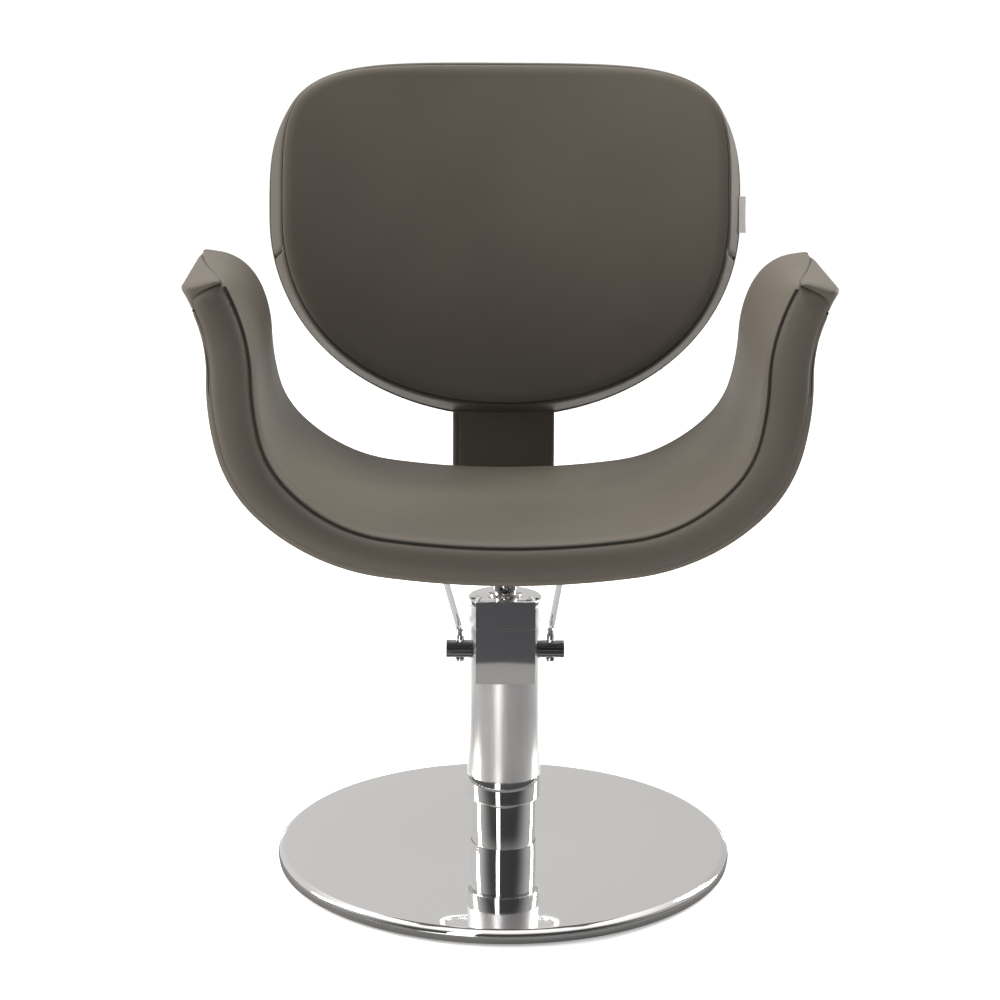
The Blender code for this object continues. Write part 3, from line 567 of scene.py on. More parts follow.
def ribbon_section(share, depth):
    """(x, z) in the ribbon's front plane: share of its half length, depth 0 outside to 1 inside."""
    distance = share * SEAT_HALF
    x, z, heading = ribbon_line(distance)
    level = smooth_step(SEAT_HALF - TIP_SHEAR_LENGTH, SEAT_HALF, distance)
    shear = (math.pi / 2 - TIP_HEADING) * level
    across = heading + math.pi / 2 + shear
    offset = (depth - 0.5) * seat_thickness(share) / math.cos(shear)
    return np.array((x + offset * math.cos(across), z + offset * math.sin(across)))


def to_seat(point, y):
    """A point of the front plane moved back to y, with the seat's splay and tilt. Negative x mirrors it."""
    behind = y - SEAT_FRONT
    return np.array((point[0] * (1 + SEAT_SPLAY * behind), y, point[1] - SEAT_TILT * behind))


def seat_rear(share):
    return mix(SEAT_REAR, ARM_REAR, smooth_step(0.35, 0.95, share))


INNER_LINE = np.array([ribbon_section(share, 1.0) for share in np.linspace(0, 1, 500)])
OUTER_LINE = np.array([ribbon_section(share, 0.0) for share in np.linspace(1, 0, 500)])
TOP_INNER, TOP_OUTER = INNER_LINE[-1], OUTER_LINE[0]


def curve_between(start, control, end, count=20):
    share = np.linspace(0, 1, count)[:, None]
    return (1 - share) ** 2 * start + 2 * share * (1 - share) * control + share ** 2 * end


def along(line):
    """Distance of each point of a line from its first one."""
    return np.concatenate(([0], np.cumsum(np.linalg.norm(np.diff(line, axis=0), axis=1))))


def point_along(distance, lengths, line):
    return np.array([np.interp(distance, lengths, line[:, axis]) for axis in range(line.shape[1])])


def rim_section(y):
    """The half section's outline at y, from inner centre over the arm's tip to the outer centre.

    The tip's inner corner is sharp and a little raised in front, and rounds out broadly to the rear.
    Returns the line, and the distances along it of the crease, the outer edge and the cap's lower seam.
    """
    back = min(1.0, max(0.0, (y - SEAT_FRONT) / (ARM_REAR - SEAT_FRONT)))
    inner_round = mix(0.003, 0.066, back ** 0.9)
    outer_round = 0.0080
    lengths = along(INNER_LINE)
    kept_length = lengths[-1] - inner_round
    kept = INNER_LINE[lengths < kept_length]
    start, earlier = (point_along(kept_length - gap, lengths, INNER_LINE) for gap in (0.0, 0.004))
    heading = start - earlier
    control = start + heading * (TOP_INNER[1] + INNER_RISE * (1 - back) - start[1]) / heading[1]
    top_end = TOP_OUTER - (outer_round, 0)
    across = top_end - control
    reach = min(float(np.linalg.norm(control - start)), float(np.linalg.norm(across)) - 0.001)
    corner = curve_between(start, control, control + across * reach / np.linalg.norm(across))
    below = OUTER_LINE[np.linalg.norm(OUTER_LINE - TOP_OUTER, axis=1) > outer_round]
    edge = curve_between(top_end, TOP_OUTER, below[0], 10)
    line = np.concatenate((kept, corner, edge, below[1:]))
    lengths = along(line)
    crease_x = mix(TOP_INNER[0], TOP_OUTER[0], min(0.95, 1 - (1 - back) ** CREASE_POWER))
    crease_x = max(crease_x, corner[len(corner) // 2, 0])
    first = len(kept) + len(corner) // 2 - 4
    top = slice(first, len(kept) + len(corner) + 6)
    crease = float(np.interp(crease_x, line[top, 0], lengths[top]))
    outer = lengths[len(kept) + len(corner) + len(edge) // 2]
    return line, lengths, (crease, outer, outer + CAP_DROP, lengths[-1])


SECTION_YS = np.linspace(SEAT_FRONT, ARM_REAR, 90)
SECTIONS = [rim_section(y) for y in SECTION_YS]


def section_point(first, second, share, y):
    """(x, z) in the front plane at a share of the way between two marks of the rim section at y.

    The marks are 0 inner centre, 1 crease, 2 outer edge, 3 cap seam, 4 outer centre.
    """
    place = np.interp(y, SECTION_YS, np.arange(len(SECTION_YS)))
    low = min(int(place), len(SECTION_YS) - 2)
    found = []
    for line, lengths, marks in SECTIONS[low:low + 2]:
        ends = (0.0, *marks)
        found.append(point_along(mix(ends[first], ends[second], share), lengths, line))
    return mix(*found, place - low)


def mirrored(half):
    """A grid given on its +X half, from the middle column on, with its mirror image before it."""
    return np.concatenate((half[:, :0:-1] * (-1, 1, 1), half), axis=1)


def arch_drop(across):
    """How far below the arm's top the front band's end lies, across from 0 inside to 1 outside."""
    return 0.003 - INNER_RISE * (1 - across) ** 2 + 0.024 * (1 - math.sqrt(1 - min(1.0, across / 1.02) ** 2))


def front_point(share, depth):
    """A point of the ribbon's front edge. A share above 1 lies beyond the ribbon's end, on its heading."""
    beyond = max(0.0, abs(share) - 1) * SEAT_HALF
    x, z = ribbon_section(min(1.0, abs(share)), depth)
    x, z = x + beyond * math.cos(TIP_HEADING), z + beyond * math.sin(TIP_HEADING)
    return to_seat((math.copysign(x, share), z), SEAT_FRONT)


def half_shares(count):
    """Shares of a half width that crowd towards its outer end."""
    return np.abs(1 - (1 - crowded(2 * count - 1)[count - 1:]) * 2)


def relaxed(grid, times):
    """The grid with each inner row drawn towards the mean of its neighbours."""
    for _ in range(times):
        grid = grid.copy()
        grid[1:-1] = 0.5 * grid[1:-1] + 0.25 * (grid[:-2] + grid[2:])
    return grid


def ribbon_grid(first, second, columns, rows, margin):
    """The ribbon's surface between two marks of its sections, with the margin left at its front and rear.

    Returns the grid, and the shares of the half width at its columns.
    """
    shares, steps = half_shares(columns), crowded(rows)
    half = np.empty((rows, columns, 3))
    for column, share in enumerate(shares):
        for row, y in enumerate(mix(SEAT_FRONT + margin, seat_rear(share) - margin, steps)):
            half[row, column] = to_seat(section_point(first, second, share, y), y)
    return mirrored(half), np.concatenate((shares[:0:-1], shares))


def build_seat_cushion():
    grid, reach = ribbon_grid(0, 1, 110, 54, 0.003)
    grid = relaxed(grid, 6)
    fade = seam_rolls(grid, (0.020, 0.015), (0.007, 0.007))
    rise = 0.0045 * (1 - smooth_step(0.74, 0.95, reach))
    piece = add_panel("seat_inner_cushion", "seat_cushion", grid, rise, SEAM_DEPTH, fade)
    puff(piece, *fade.shape, 0.004)
    subdivide(piece)


def band_low(share):
    """Depth of the front band's outer seam, which runs nearer the outer edge towards the tips."""
    return mix(0.115, 0.060, float(smooth_step(0.70, 0.92, abs(share))))


def front_band_grid(columns=110, rows=30):
    """The flat edge of the ribbon between its two seams, ending under the arm caps in an arch."""
    half = np.empty((rows, columns, 3))
    for column, share in enumerate(half_shares(columns)):
        for row, depth in enumerate(mix(band_low(share), BAND_HIGH, crowded(rows, 0.5))):
            end = 1 - arch_drop(1 - depth) / SEAT_HALF
            half[row, column] = front_point(share * end, depth)
    return mirrored(half)


def rear_band_grid(columns=100, rows=20):
    """The rear edge of the ribbon, between its rounded inner outline and its outer one."""
    half = np.empty((rows, columns, 3))
    for column, share in enumerate(half_shares(columns)):
        y = seat_rear(share)
        outer, inner = section_point(4, 2, share, y), section_point(0, 1, share, y)
        for row, depth in enumerate(mix(0.09, 0.93, crowded(rows, 0.6))):
            half[row, column] = to_seat(mix(outer, inner, depth), y)
    return mirrored(half)


def arm_puckers(grid):
    """Small gathers in the band's leather beside its inner seam, just below the arm caps."""
    along_band = run_lengths(grid, 1)
    from_end = np.minimum(along_band, along_band.max(axis=1, keepdims=True) - along_band)
    across = run_lengths(grid, 0)
    from_seam = across.max(axis=0, keepdims=True) - across
    window = smooth_step(0.012, 0.022, from_end) * (1 - smooth_step(0.045, 0.060, from_end))
    waves = np.sin(2 * math.pi * from_end / 0.0075 + 1.5 * np.sin(90 * from_end))
    return 0.0011 * window * waves * np.exp(-(from_seam / 0.011) ** 2)


def build_seat_bands():
    grid = front_band_grid()
    fade = seam_rolls(grid, (0.019, 0.027), (0.022, 0.022))
    sink = mix(0.0030, 0.0075, np.linspace(0, 1, len(grid))[:, None])
    rise = 0.0110 + arm_puckers(grid)
    add_panel("seat_front_roll", "seat_front_band", grid, rise, sink, fade, "leather_band")
    grid = rear_band_grid()
    fade = seam_rolls(grid, (0.016, 0.016), (0.006, 0.006))
    add_panel("seat_rear_roll", "seat_rear_band", grid, 0.0040, SEAM_DEPTH, fade, "leather_band", -1)


def build_seat_seams():
    """Turned-in seam allowances close the grooves on both sides of the front band; their near-black leather
    is painted shade of the grooves.
    """
    shares = mix(-1, 1, crowded(260, 0.3))
    for label, depths in (
        ("outer", [band_low(share) - 0.035 for share in shares]),
        ("inner", [BAND_HIGH + 0.020 for share in shares]),
    ):
        route = []
        for share, depth in zip(shares, depths):
            end = 1 - (arch_drop(1 - min(1.0, depth)) + 0.006) / SEAT_HALF
            route.append(front_point(share * end, depth) + np.array((0, SEAM_SETBACK, 0)))
        add_tubes(f"seat_seam_{label}", [route], BAND_SEAM_RADIUS, SEAM_SHADE_LEATHER)


def build_outer_cover():
    grid, reach = ribbon_grid(4, 3, 100, 40, 0.0006)
    fade = seam_rolls(grid, (0.007, 0.007), (0.006, 0.006))
    lengths = run_lengths(grid, 0)
    edge = np.minimum(lengths, lengths.max(axis=0, keepdims=True) - lengths)
    near_cap = smooth_step(0.86, 0.985, reach)
    sink = mix(SEAM_DEPTH, 0.0010, near_cap) + 0.0035 * (1 - near_cap) * np.exp(-(edge / 0.006) ** 2)
    add_panel("seat_outer_skin", "seat_outer_cover", grid, 0.0014, sink, fade, side=-1)


def beside_seam(face, distance):
    """The line on a panel's face that runs beside its first row's seam."""
    lengths = run_lengths(face, 0)
    columns = range(face.shape[1])
    return np.array([point_along(distance, lengths[:, column], face[:, column]) for column in columns])


def add_stitches(name, route):
    """A row of separate thread stitches along a line."""
    lengths = along(route)
    routes = []
    for start in np.arange(0.003, lengths[-1] - 0.006, STITCH_PITCH):
        places = np.linspace(start, start + 0.72 * STITCH_PITCH, 5)
        routes.append([point_along(place, lengths, route) for place in places])
    add_tubes(name, routes, THREAD_RADIUS, THREAD, "leather", sides=6)


def build_arm_caps():
    for side, label in ((-1, "left"), (1, "right")):
        grid = cap_grid(side)
        fade = seam_rolls(grid, (0.004, 0.004), (0.005, 0.005))
        node = f"arm_cap_{label}"
        add_panel(f"arm_cap_skin_{label}", node, grid, CAP_RISE, CAP_SINK, fade, side=side)
        face = panel_face(grid, CAP_RISE, CAP_SINK, fade, side)
        add_stitches(f"arm_cap_stitches_{label}", beside_seam(face, STITCH_SETBACK))


def cap_top(share, y):
    return to_seat(section_point(1, 3, share, y), y)


def cap_front_end(share):
    """The cap's seam on the front band's arch."""
    across = share ** 0.8
    return front_point(1 - arch_drop(across) / SEAT_HALF, 1 - 0.90 * across)


def cap_rear_end(share):
    """The cap's seam behind the arm, a little inside the section's outline."""
    point = section_point(1, 3, share, ARM_REAR)
    inward = ribbon_section(0.93, 0.45) - point
    return to_seat(point + 0.0035 * (inward / np.linalg.norm(inward)), ARM_REAR)


def cap_grid(side):
    """The arm cap: down the front to the arch, over the top and the outer edge, and down the rear."""
    lines = []
    for share in crowded(44, 0.5):
        stretches = []
        for y, inward, bottom in ((SEAT_FRONT, 1, cap_front_end(share)), (ARM_REAR, -1, cap_rear_end(share))):
            corner = cap_top(share, y)
            drop = float(np.linalg.norm(corner - bottom))
            bend = min(0.017, 0.7 * drop)
            reach = CAP_FRONT_REACH if inward > 0 else bend
            bend_start = corner + (bottom - corner) / max(1e-9, drop) * bend
            end = y + inward * reach
            face = [mix(bottom, bend_start, step) for step in np.linspace(0, 1, 9)]
            arc = curve_between(bend_start, corner, cap_top(share, end), 10)[1:-1]
            stretches.append(([*face, *arc], end))
        (front, front_end), (rear, rear_end) = stretches
        middle = [cap_top(share, y) for y in np.linspace(front_end, rear_end, 46)]
        lines.append([*front, *middle, *rear[::-1]])
    grid = np.array(lines).transpose(1, 0, 2)
    grid[..., 0] *= side
    return grid


# Backrest

def back_point(across, up, depth):
    angle = across / BACK_RADIUS
    place = np.array((
        (BACK_RADIUS + depth) * math.sin(angle), BACK_RADIUS * (math.cos(angle) - 1), 0.0
    ))
    return BACK_CENTRE + place + LEAN_REAR * depth * math.cos(angle) + LEAN_UP * up


def back_outline(angle, depth, inset):
    if math.sin(angle) >= 0:
        power, height = BACK_UP_POWER - BACK_UP_EASING * depth, BACK_UP
    else:
        power, height = BACK_DOWN_POWER - BACK_DOWN_EASING * depth, BACK_DOWN + BACK_FLARE * depth
    across = (abs(math.cos(angle)) / (BACK_HALF_WIDTH - inset)) ** power
    up = (abs(math.sin(angle)) / (height - inset)) ** power
    reach = (across + up) ** (-1 / power)
    return reach * math.cos(angle), reach * math.sin(angle)


def back_edge(angle, depth, inset):
    return back_point(*back_outline(angle, depth, inset), depth)


def back_oval(depth, inset, cells):
    """A square grid drawn onto the outline, with each point's distance from the edge and share outwards."""
    even = np.linspace(-1, 1, cells + 1)
    steps = mix(even, np.sin(even * math.pi / 2), 0.75)
    grid = np.empty((cells + 1, cells + 1, 3))
    away, shares = np.empty(grid.shape[:2]), np.empty(grid.shape[:2])
    for row, b in enumerate(steps):
        for column, a in enumerate(steps):
            share = max(abs(a), abs(b))
            across, up = back_outline(math.atan2(b, a), depth, inset)
            grid[row, column] = back_point(share * across, share * up, depth)
            away[row, column] = (1 - share) * math.hypot(across, up)
            shares[row, column] = share
    return grid, away, shares


def build_back_pad():
    grid, away, shares = back_oval(0.0012, 0.0006, 96)
    rise = 0.0060 * (1 - shares ** 3) + 0.0040
    piece = add_panel("back_pad_cushion", "back_pad", grid, rise, 0.0045, roll(away, 0.015))
    puff(piece, *away.shape, 0.005)
    subdivide(piece)


def build_back_rear():
    grid, away, shares = back_oval(BACK_THICKNESS - 0.0015, -0.0010, 72)
    rise = 0.0040 * (1 - shares ** 4) + 0.0010
    fade = roll(away, 0.011)
    add_panel("back_rear_panel", "back_rear_cover", grid, rise, SEAM_DEPTH, fade, side=-1)


def strip_joint(depth):
    """Outline angle of the right joint between the strips, which slants down towards the rear."""
    return math.atan2(STRIP_JOINT_HEIGHT + 0.006 - 0.24 * depth, BACK_HALF_WIDTH)


def build_back_strips():
    for label in ("upper", "lower"):
        lines = []
        for depth in mix(0.0036, BACK_THICKNESS - 0.0048, crowded(20, 0.6)):
            joint = strip_joint(depth)
            start, end = joint, math.pi - joint
            if label == "lower":
                start, end = math.pi - joint, 2 * math.pi + joint
            angles = mix(start + STRIP_GAP, end - STRIP_GAP, crowded(260, 0.15))
            lines.append([back_edge(angle, depth, 0.0) for angle in angles])
        grid = np.array(lines)
        fade = seam_rolls(grid, (0.008, 0.008), (0.005, 0.005))
        name, node = f"back_side_strip_{label}", f"back_strip_{label}"
        add_panel(name, node, grid, 0.0012, SEAM_DEPTH, fade, "leather_band", -1)


def build_back_seams():
    around = np.linspace(0.0, 2 * math.pi * 359 / 360, 360)
    # The seam tubes' near-black leather is painted shade of the grooves round the back's panels.
    for label, depth in (("front", 0.0030), ("rear", BACK_THICKNESS - 0.0030)):
        route = [back_edge(angle, depth, BACK_SEAM_INSET) for angle in around]
        add_tubes(f"back_seam_{label}", [route], SEAM_RADIUS, SEAM_SHADE_LEATHER, closed=True)
    for label in ("left", "right"):
        route = []
        for depth in np.linspace(0.003, BACK_THICKNESS - 0.004, 14):
            angle = strip_joint(depth)
            route.append(back_edge(angle if label == "right" else math.pi - angle, depth, 0.0020))
        add_tubes(f"back_seam_side_{label}", [route], SEAM_RADIUS, SEAM_SHADE_LEATHER)


def build_side_tab():
    """A plain tape, folded into a flat loop and sewn into the rear edge of the right side strip."""
    low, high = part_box("side_tab")
    root = back_point(BACK_HALF_WIDTH, 0.004, BACK_THICKNESS - 0.010) + np.array((0.0009, 0, 0))
    outward = np.array((1.0, 0.10, 0)) / math.hypot(1.0, 0.10)
    forward = np.array((outward[1], -outward[0], 0))
    height, lift = 0.92 * (high.z - low.z) / LEAN_UP[2], 0.004
    reach, half_gap, ply, rows = 0.0088, 0.0007, 0.0004, 26
    line = [(share * (reach - half_gap), half_gap) for share in np.linspace(0, 1, 8)]
    back = [(place, -depth) for place, depth in line[::-1]]
    for angle in np.linspace(math.pi / 2, -math.pi / 2, 10)[1:-1]:
        line.append((reach - half_gap + half_gap * math.cos(angle), half_gap * math.sin(angle)))
    line = np.array(line + back)
    turn = np.gradient(line, axis=0)
    turn /= np.linalg.norm(turn, axis=1, keepdims=True)
    offset = ply / 2 * np.column_stack((-turn[:, 1], turn[:, 0]))
    outline = np.concatenate((line + offset, (line - offset)[::-1]))
    verts = []
    for level in np.linspace(0, 1, rows):
        flare = 1 + 0.10 * (1 - level) ** 6
        open_up = 1 + 0.9 * (1 - level) ** 4 + 0.25 * math.sin(5 * level)
        rise = LEAN_UP * (height * (level - 0.5) + lift)
        for out, aside in outline:
            verts.append(root + outward * out * flare + forward * aside * open_up + rise)
    around = len(outline)
    faces = grid_faces(rows, around, wrap=True)
    for start, step in ((0, 1), ((rows - 1) * around, -1)):
        end = start + around
        for index in range(around // 2 - 1):
            faces.append((start + index, start + index + 1, end - 2 - index, end - 1 - index)[::step])
    sharpen(add_mesh("side_tab_tape", verts, faces, "label", "side_tab"), 50)


# Bracket sleeve

def build_bracket_sleeve():
    """The leather sleeve on the upright: a flat tube with a seam near each side."""
    low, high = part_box("bracket_sleeve")
    width = high.x - low.x
    leg_z, depth_in_back = 0.4065, 0.0378
    top = back_point(0, -0.060, depth_in_back)
    corner_y = top[1] - (top[2] - leg_z) / LEAN_UP[2] * LEAN_UP[1]
    turn = math.pi / 2 - BACK_LEAN
    start_y = corner_y - SLEEVE_BEND * math.tan(turn / 2)
    line = []
    for heading in turn * np.linspace(0, 1, 16):
        y = start_y + SLEEVE_BEND * math.sin(heading)
        line.append((y, leg_z + SLEEVE_BEND * (1 - math.cos(heading)), heading))
    bend_y, bend_z, _ = line[-1]
    end = back_point(0, -(BACK_DOWN + 0.0060), depth_in_back)
    for step in np.linspace(0, 1, 14)[1:]:
        line.append((mix(bend_y, end[1], step), mix(bend_z, end[2], step), turn))
    around = 96
    verts = []
    for index, (y, z, heading) in enumerate(line):
        share = index / (len(line) - 1)
        tuck = 1 - 0.10 * (1 - float(roll(np.array(min(share, 1 - share) * 0.16), 0.006)))
        for step in range(around):
            angle = 2 * math.pi * step / around
            c, s = math.cos(angle), math.sin(angle)
            x = math.copysign(abs(c) ** 0.30, c) * width / 2
            off = math.copysign(abs(s) ** 0.42, s) * SLEEVE_THICKNESS / 2
            groove = math.exp(-((abs(x) - width / 2 + 0.0070) / 0.0011) ** 2)
            off -= math.copysign(0.0013 * groove, off)
            off *= tuck
            x *= 1 - 0.02 * (1 - tuck)
            verts.append((x, y - off * math.sin(heading), z + off * math.cos(heading)))
    last = (len(line) - 1) * around
    faces = grid_faces(len(line), around, wrap=True)
    faces += [tuple(range(around - 1, -1, -1)), tuple(range(last, last + around))]
    name, node = "bracket_leather_sleeve", "bracket_sleeve"
    # The sleeve takes the darker band leather, whose colour holds painted shade.
    piece = add_mesh(name, verts, faces, "leather", node, material=SHADED_BAND_LEATHER)


# Base and column

def build_base():
    low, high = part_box("base_cover")
    radius, top, bottom = high.x, high.z, low.z
    sheet, hole = 0.0015, 0.0403
    section = rounded_section(
        [
            (hole, top - sheet), (hole, top), (radius - 0.0065, top), (radius - 0.0012, top - 0.0040),
            (radius, top - 0.0090), (radius - 0.0014, bottom), (radius - 0.0032, bottom),
            (radius - 0.0018, top - 0.0090), (radius - 0.0075, top - sheet - 0.0010),
        ],
        [0, 0.0004, 0.0060, 0.0050, 0.0100, 0.0006, 0, 0.002, 0],
    )
    add_turned("base_mirror_cover", "base_cover", section, steps=192)


def build_column():
    """The column's turned pieces, whose heights and outer radii come from the CAD."""
    made = {}
    for name, node, inner, edge, slot, steps in (
        ("column_foot_tube", "column_foot", COLUMN_BORE, 0.0004, "mirror_chrome", 120),
        ("column_polished_ring", "column_ring", COLUMN_BORE, 0.0010, "mirror_chrome", 120),
        ("column_satin_sleeve", "column_sleeve", None, 0.0006, "satin_aluminium", 120),
        ("column_top_cap", "column_cap", 0.015, 0.0022, "mirror_chrome", 120),
        ("rod_gland_ring", "rod_gland", 0.0143, 0.0012, "mirror_chrome", 96),
    ):
        low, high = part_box(node)
        section = ring_section(inner or high.x - SLEEVE_WALL, high.x, low.z, high.z, edge)
        made[node] = add_turned(name, node, section, slot, steps)
    cut_windows(made["column_sleeve"])
    low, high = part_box("piston_rod")
    corners = [(0, low.z), (high.x, low.z), (high.x, high.z), (0, high.z)]
    section = rounded_section(corners, [0, 0.0005, 0.0008, 0])
    add_turned("lift_rod", "piston_rod", section, steps=96, body="lift")


def refine(node, body, slot, edge=0.0, angle=40):
    """A smooth-shaded copy of a CAD piece, whose sharp edges are eased by a bevel when an edge width is
    given.
    """
    mesh = frame["nodes"][node].data.copy()
    mesh.name = f"{node}_eased"
    shape = bmesh.new()
    shape.from_mesh(mesh)
    bmesh.ops.remove_doubles(shape, verts=shape.verts, dist=1e-6)
    flat = math.radians(1)
    bmesh.ops.dissolve_limit(shape, angle_limit=flat, verts=shape.verts, edges=shape.edges)
    shape.to_mesh(mesh)
    shape.free()
    mesh.shade_smooth()
    mesh.materials.clear()
    mesh.materials.append(SLOT_MATERIALS[slot])
    piece = place_piece(add_object(f"{node}_eased", mesh), node, body)
    if not edge:
        return sharpen(piece, angle)
    bevel = piece.modifiers.new("eased_edges", "BEVEL")
    bevel.width = edge
    bevel.segments = 3
    bevel.limit_method = "ANGLE"
    bevel.angle_limit = math.radians(angle)
    bevel.harden_normals = True
    sharpen(piece, 60)
    apply_modifiers(piece)
    return piece


def build_pump_outside():
    for name in ("pump_cover_lower", "pump_cover_upper"):
        refine(name, "root", "mirror_chrome", 0.0006, 50)
    for name in ("pedal_hub_left", "pedal_hub_right"):
        refine(name, "pedal", "dark_chrome", 0.0008, 50)
    for name in ("pedal_screw_left", "pedal_screw_right", "pedal_bar"):
        refine(name, "pedal", "mirror_chrome")
    refine("pedal_grip", "pedal", "rubber", 0.0020, 50)


def build_plunger_spring():
    """The plunger's return spring, a smooth-shaded copy of the CAD spring on its own mesh."""
    spring = refine("plunger_spring", "root", "steel")
    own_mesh(spring)


def cut_windows(sleeve):
    """The pump's window and the shaft's slot, as in the CAD sleeve."""
    low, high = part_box("pump_housing")
    shaft_low, shaft_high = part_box("pedal_hub_right")
    shaft_z = (shaft_low.z + shaft_high.z) / 2
    for start, end in (
        (Vector((-0.0225, -0.06, low.z - 0.0005)), Vector((0.0225, -0.02, high.z + 0.0012))),
        (Vector((-0.0350, -0.06, shaft_z - 0.009)), Vector((0.0350, -0.027, shaft_z + 0.009))),
    ):
        bpy.ops.mesh.primitive_cube_add(size=1)
        tool = bpy.context.active_object
        tool.scale = end - start
        tool.location = (end + start) / 2
        bpy.context.view_layer.update()
        cut = sleeve.modifiers.new("window", "BOOLEAN")
        cut.object = tool
        cut.solver = "EXACT"
        apply_modifiers(sleeve)
        bpy.data.objects.remove(tool)
    sharpen(sleeve, 40)


def apply_modifiers(piece):
    view = bpy.context.evaluated_depsgraph_get()
    made = bpy.data.meshes.new_from_object(piece.evaluated_get(view), depsgraph=view)
    piece.modifiers.clear()
    piece.data = made


dress_frame()
for build in (
    build_seat_cushion, build_seat_bands, build_seat_seams, build_outer_cover, build_arm_caps,
    build_back_pad, build_back_rear, build_back_strips, build_back_seams, build_side_tab,
    build_bracket_sleeve, build_base, build_column, build_pump_outside, build_plunger_spring,
):
    build()


# Studio

WALL_FRONT = 0.06
WALL_REAR = 0.64
CEILING = 0.80
FLOOR_GLOW = 0.34
STRIPE_ANGLE = -19  # the bright strip's direction from the column, degrees from -Y


def flat_material(name, colour, roughness, glow=0.0):
    finish = Finish(name, colour, roughness)
    finish.shader.inputs["Emission Color"].default_value = (1, 1, 1, 1)
    finish.shader.inputs["Emission Strength"].default_value = glow
    return finish.material


def add_prop(name, verts, faces, material):
    """A mesh that belongs to the studio."""
    mesh = bpy.data.meshes.new(name)
    mesh.from_pydata(verts, [], faces)
    mesh.materials.append(material)
    prop = add_object(name, mesh)
    return prop


def add_plane(name, width, height, place, aim, material):
    x, y = width / 2, height / 2
    plane = add_prop(name, [(-x, -y, 0), (x, -y, 0), (x, y, 0), (-x, y, 0)], [(0, 1, 2, 3)], material)
    plane.location = place
    plane.rotation_euler = Vector(aim).to_track_quat("Z", "Y").to_euler()
    return plane


def add_light(name, place, aim_height, width, height, energy, colour, mirrored=True):
    """A rectangular lamp that points at a height on the column's axis."""
    data = bpy.data.lights.new(name, "AREA")
    data.shape = "RECTANGLE"
    data.size, data.size_y = width, height
    data.energy = energy
    data.color = colour
    lamp = add_object(name, data)
    lamp.location = place
    aim = Vector((0, 0, aim_height)) - Vector(place)
    lamp.rotation_euler = aim.to_track_quat("-Z", "Y").to_euler()
    lamp.visible_glossy = mirrored


def add_floor_fan(name, near, far, start, end, material):
    """A card that lies on the floor round the base: only the metal's reflections show it."""
    verts = []
    count = 24
    for index in range(count + 1):
        angle = math.radians(mix(start, end, index / count))
        for reach in (near, far):
            reach *= 1 + 0.012 * math.sin(31 * angle)
            verts.append((reach * math.sin(angle), -reach * math.cos(angle), 0.001))
    faces = [(at, at + 1, at + 3, at + 2) for at in range(0, 2 * count, 2)]
    hide_from_lens(add_prop(name, verts, faces, material))


def hide_from_lens(card):
    for ray in ("camera", "diffuse", "shadow", "transmission"):
        setattr(card, f"visible_{ray}", False)


def build_world():
    """A white room whose front wall, behind the lens, is dark."""
    world = bpy.data.worlds.new("studio")
    world.use_nodes = True
    tree = world.node_tree
    place = tree.nodes.new("ShaderNodeTexCoord").outputs["Generated"]
    split = tree.nodes.new("ShaderNodeSeparateXYZ")
    tree.links.new(place, split.inputs[0])

    def graded(source, *values):
        node = ranged(tree, source, values)
        node.interpolation_type = "SMOOTHSTEP"
        return node.outputs[0]

    def joined(operation, first, second):
        node = tree.nodes.new("ShaderNodeMath")
        node.operation = operation
        tree.links.new(first, node.inputs[0])
        tree.links.new(second, node.inputs[1])
        return node.outputs[0]

    walls = graded(split.outputs[1], -0.75, 0.25, WALL_FRONT, WALL_REAR)
    sides = graded(split.outputs[0], -1.0, 1.0, 1.20, 0.86)
    ceiling = graded(split.outputs[2], 0.50, 0.95, 0.0, CEILING)
    strength = joined("ADD", joined("MULTIPLY", walls, sides), ceiling)
    background = tree.nodes["Background"]
    background.inputs["Color"].default_value = (1.0, 0.985, 0.97, 1.0)
    tree.links.new(strength, background.inputs["Strength"])
    bpy.context.scene.world = world


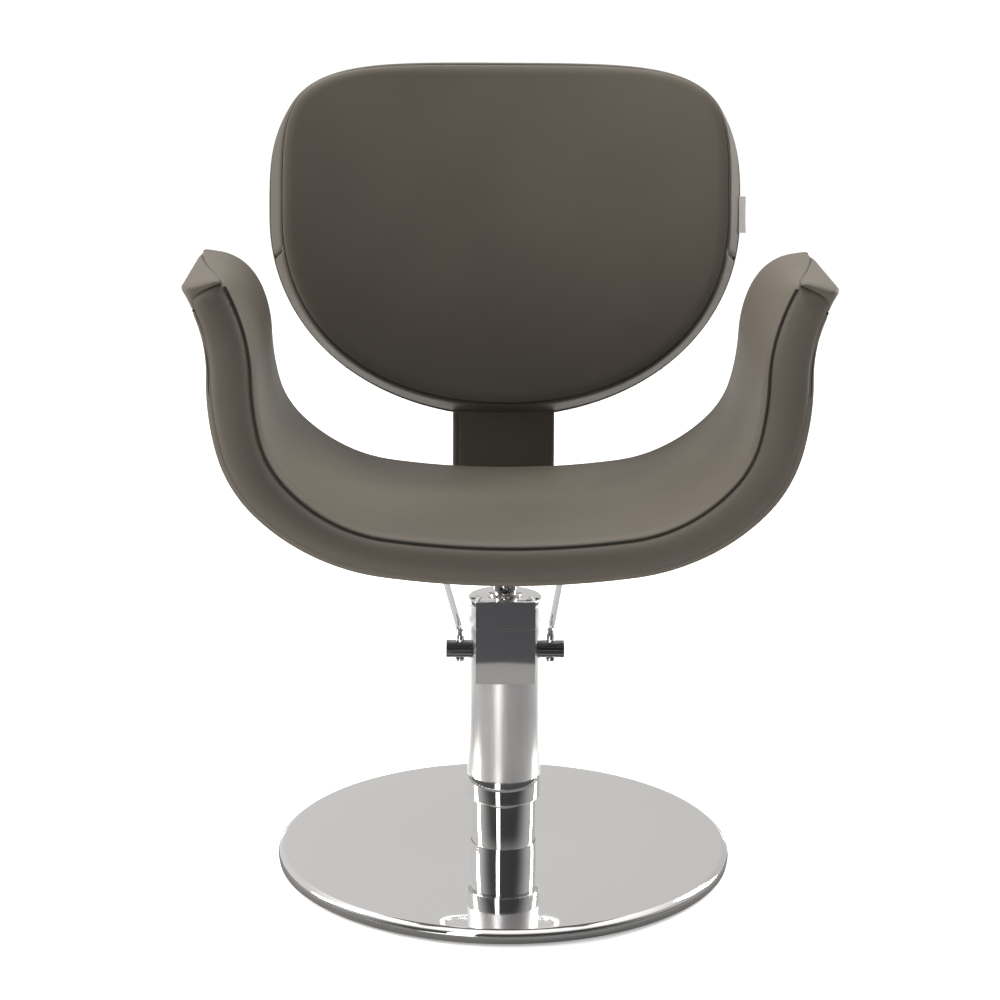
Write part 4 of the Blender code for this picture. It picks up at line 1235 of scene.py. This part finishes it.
def build_studio():
    floor = flat_material("pale_floor", (0.86, 0.86, 0.86), 0.9, FLOOR_GLOW)
    dark = flat_material("dark_card", (0.012, 0.013, 0.016), 0.9)
    grey = flat_material("grey_card", (0.13, 0.13, 0.13), 0.9)
    glow = flat_material("bright_card", (0.9, 0.9, 0.9), 0.9, 1.6)
    add_plane("floor", 400, 400, (0, 0, 0), (0, 0, 1), floor)
    add_floor_fan("foot_card", 0.272, 0.38, -150, 150, grey)
    for name, start, end in (("left", -130, STRIPE_ANGLE - 8), ("right", STRIPE_ANGLE + 8, 130)):
        add_floor_fan(f"near_card_{name}", 0.38, 0.64, start, end, dark)
        add_floor_fan(f"middle_card_{name}", 0.64, 0.90, start, end, grey)
        add_floor_fan(f"far_card_{name}", 0.90, 6.0, start, end, dark)
    angle = math.radians(STRIPE_ANGLE)
    away = Vector((math.sin(angle), -math.cos(angle), 0))
    place = away * 1.6 + Vector((0, 0, 1.0))
    hide_from_lens(add_plane("bright_strip", 0.34, 2.0, place, -away, glow))
    build_world()
    add_light("key_left", (-2.7, 0.45, 1.7), 0.6, 0.7, 2.2, 80, (1.0, 0.96, 0.90))
    add_light("top", (0.0, 0.85, 3.0), 0.2, 2.2, 1.0, 95, (1.0, 0.97, 0.93))
    add_light("fill_right", (2.5, 1.50, 1.4), 0.6, 0.6, 2.0, 100, (1.0, 0.97, 0.92))
    add_light("front_left", (-2.8, -0.9, 1.2), 0.6, 0.8, 1.4, 60, (1.0, 0.97, 0.93), False)
    add_light("front", (0.9, -2.4, 1.5), 0.7, 1.2, 1.2, 22, (1.0, 0.98, 0.95), False)


def build_camera():
    """The camera stands 2.8 m in front of the column, a little to its left, and looks down."""
    data = bpy.data.cameras.new("camera")
    data.sensor_width = 36
    data.lens = 85.19
    camera = add_object("camera", data)
    camera.location = (-0.045, -2.8, 1.1508)
    turns = ((-0.779, "Z"), (90 - 13.854, "X"), (0.37, "Z"))
    yaw, pitch, bank = (Matrix.Rotation(math.radians(angle), 4, axis) for angle, axis in turns)
    camera.rotation_euler = (yaw @ pitch @ bank).to_euler()
    bpy.context.scene.camera = camera
    bpy.context.scene.view_settings.view_transform = "Standard"


build_studio()
build_camera()
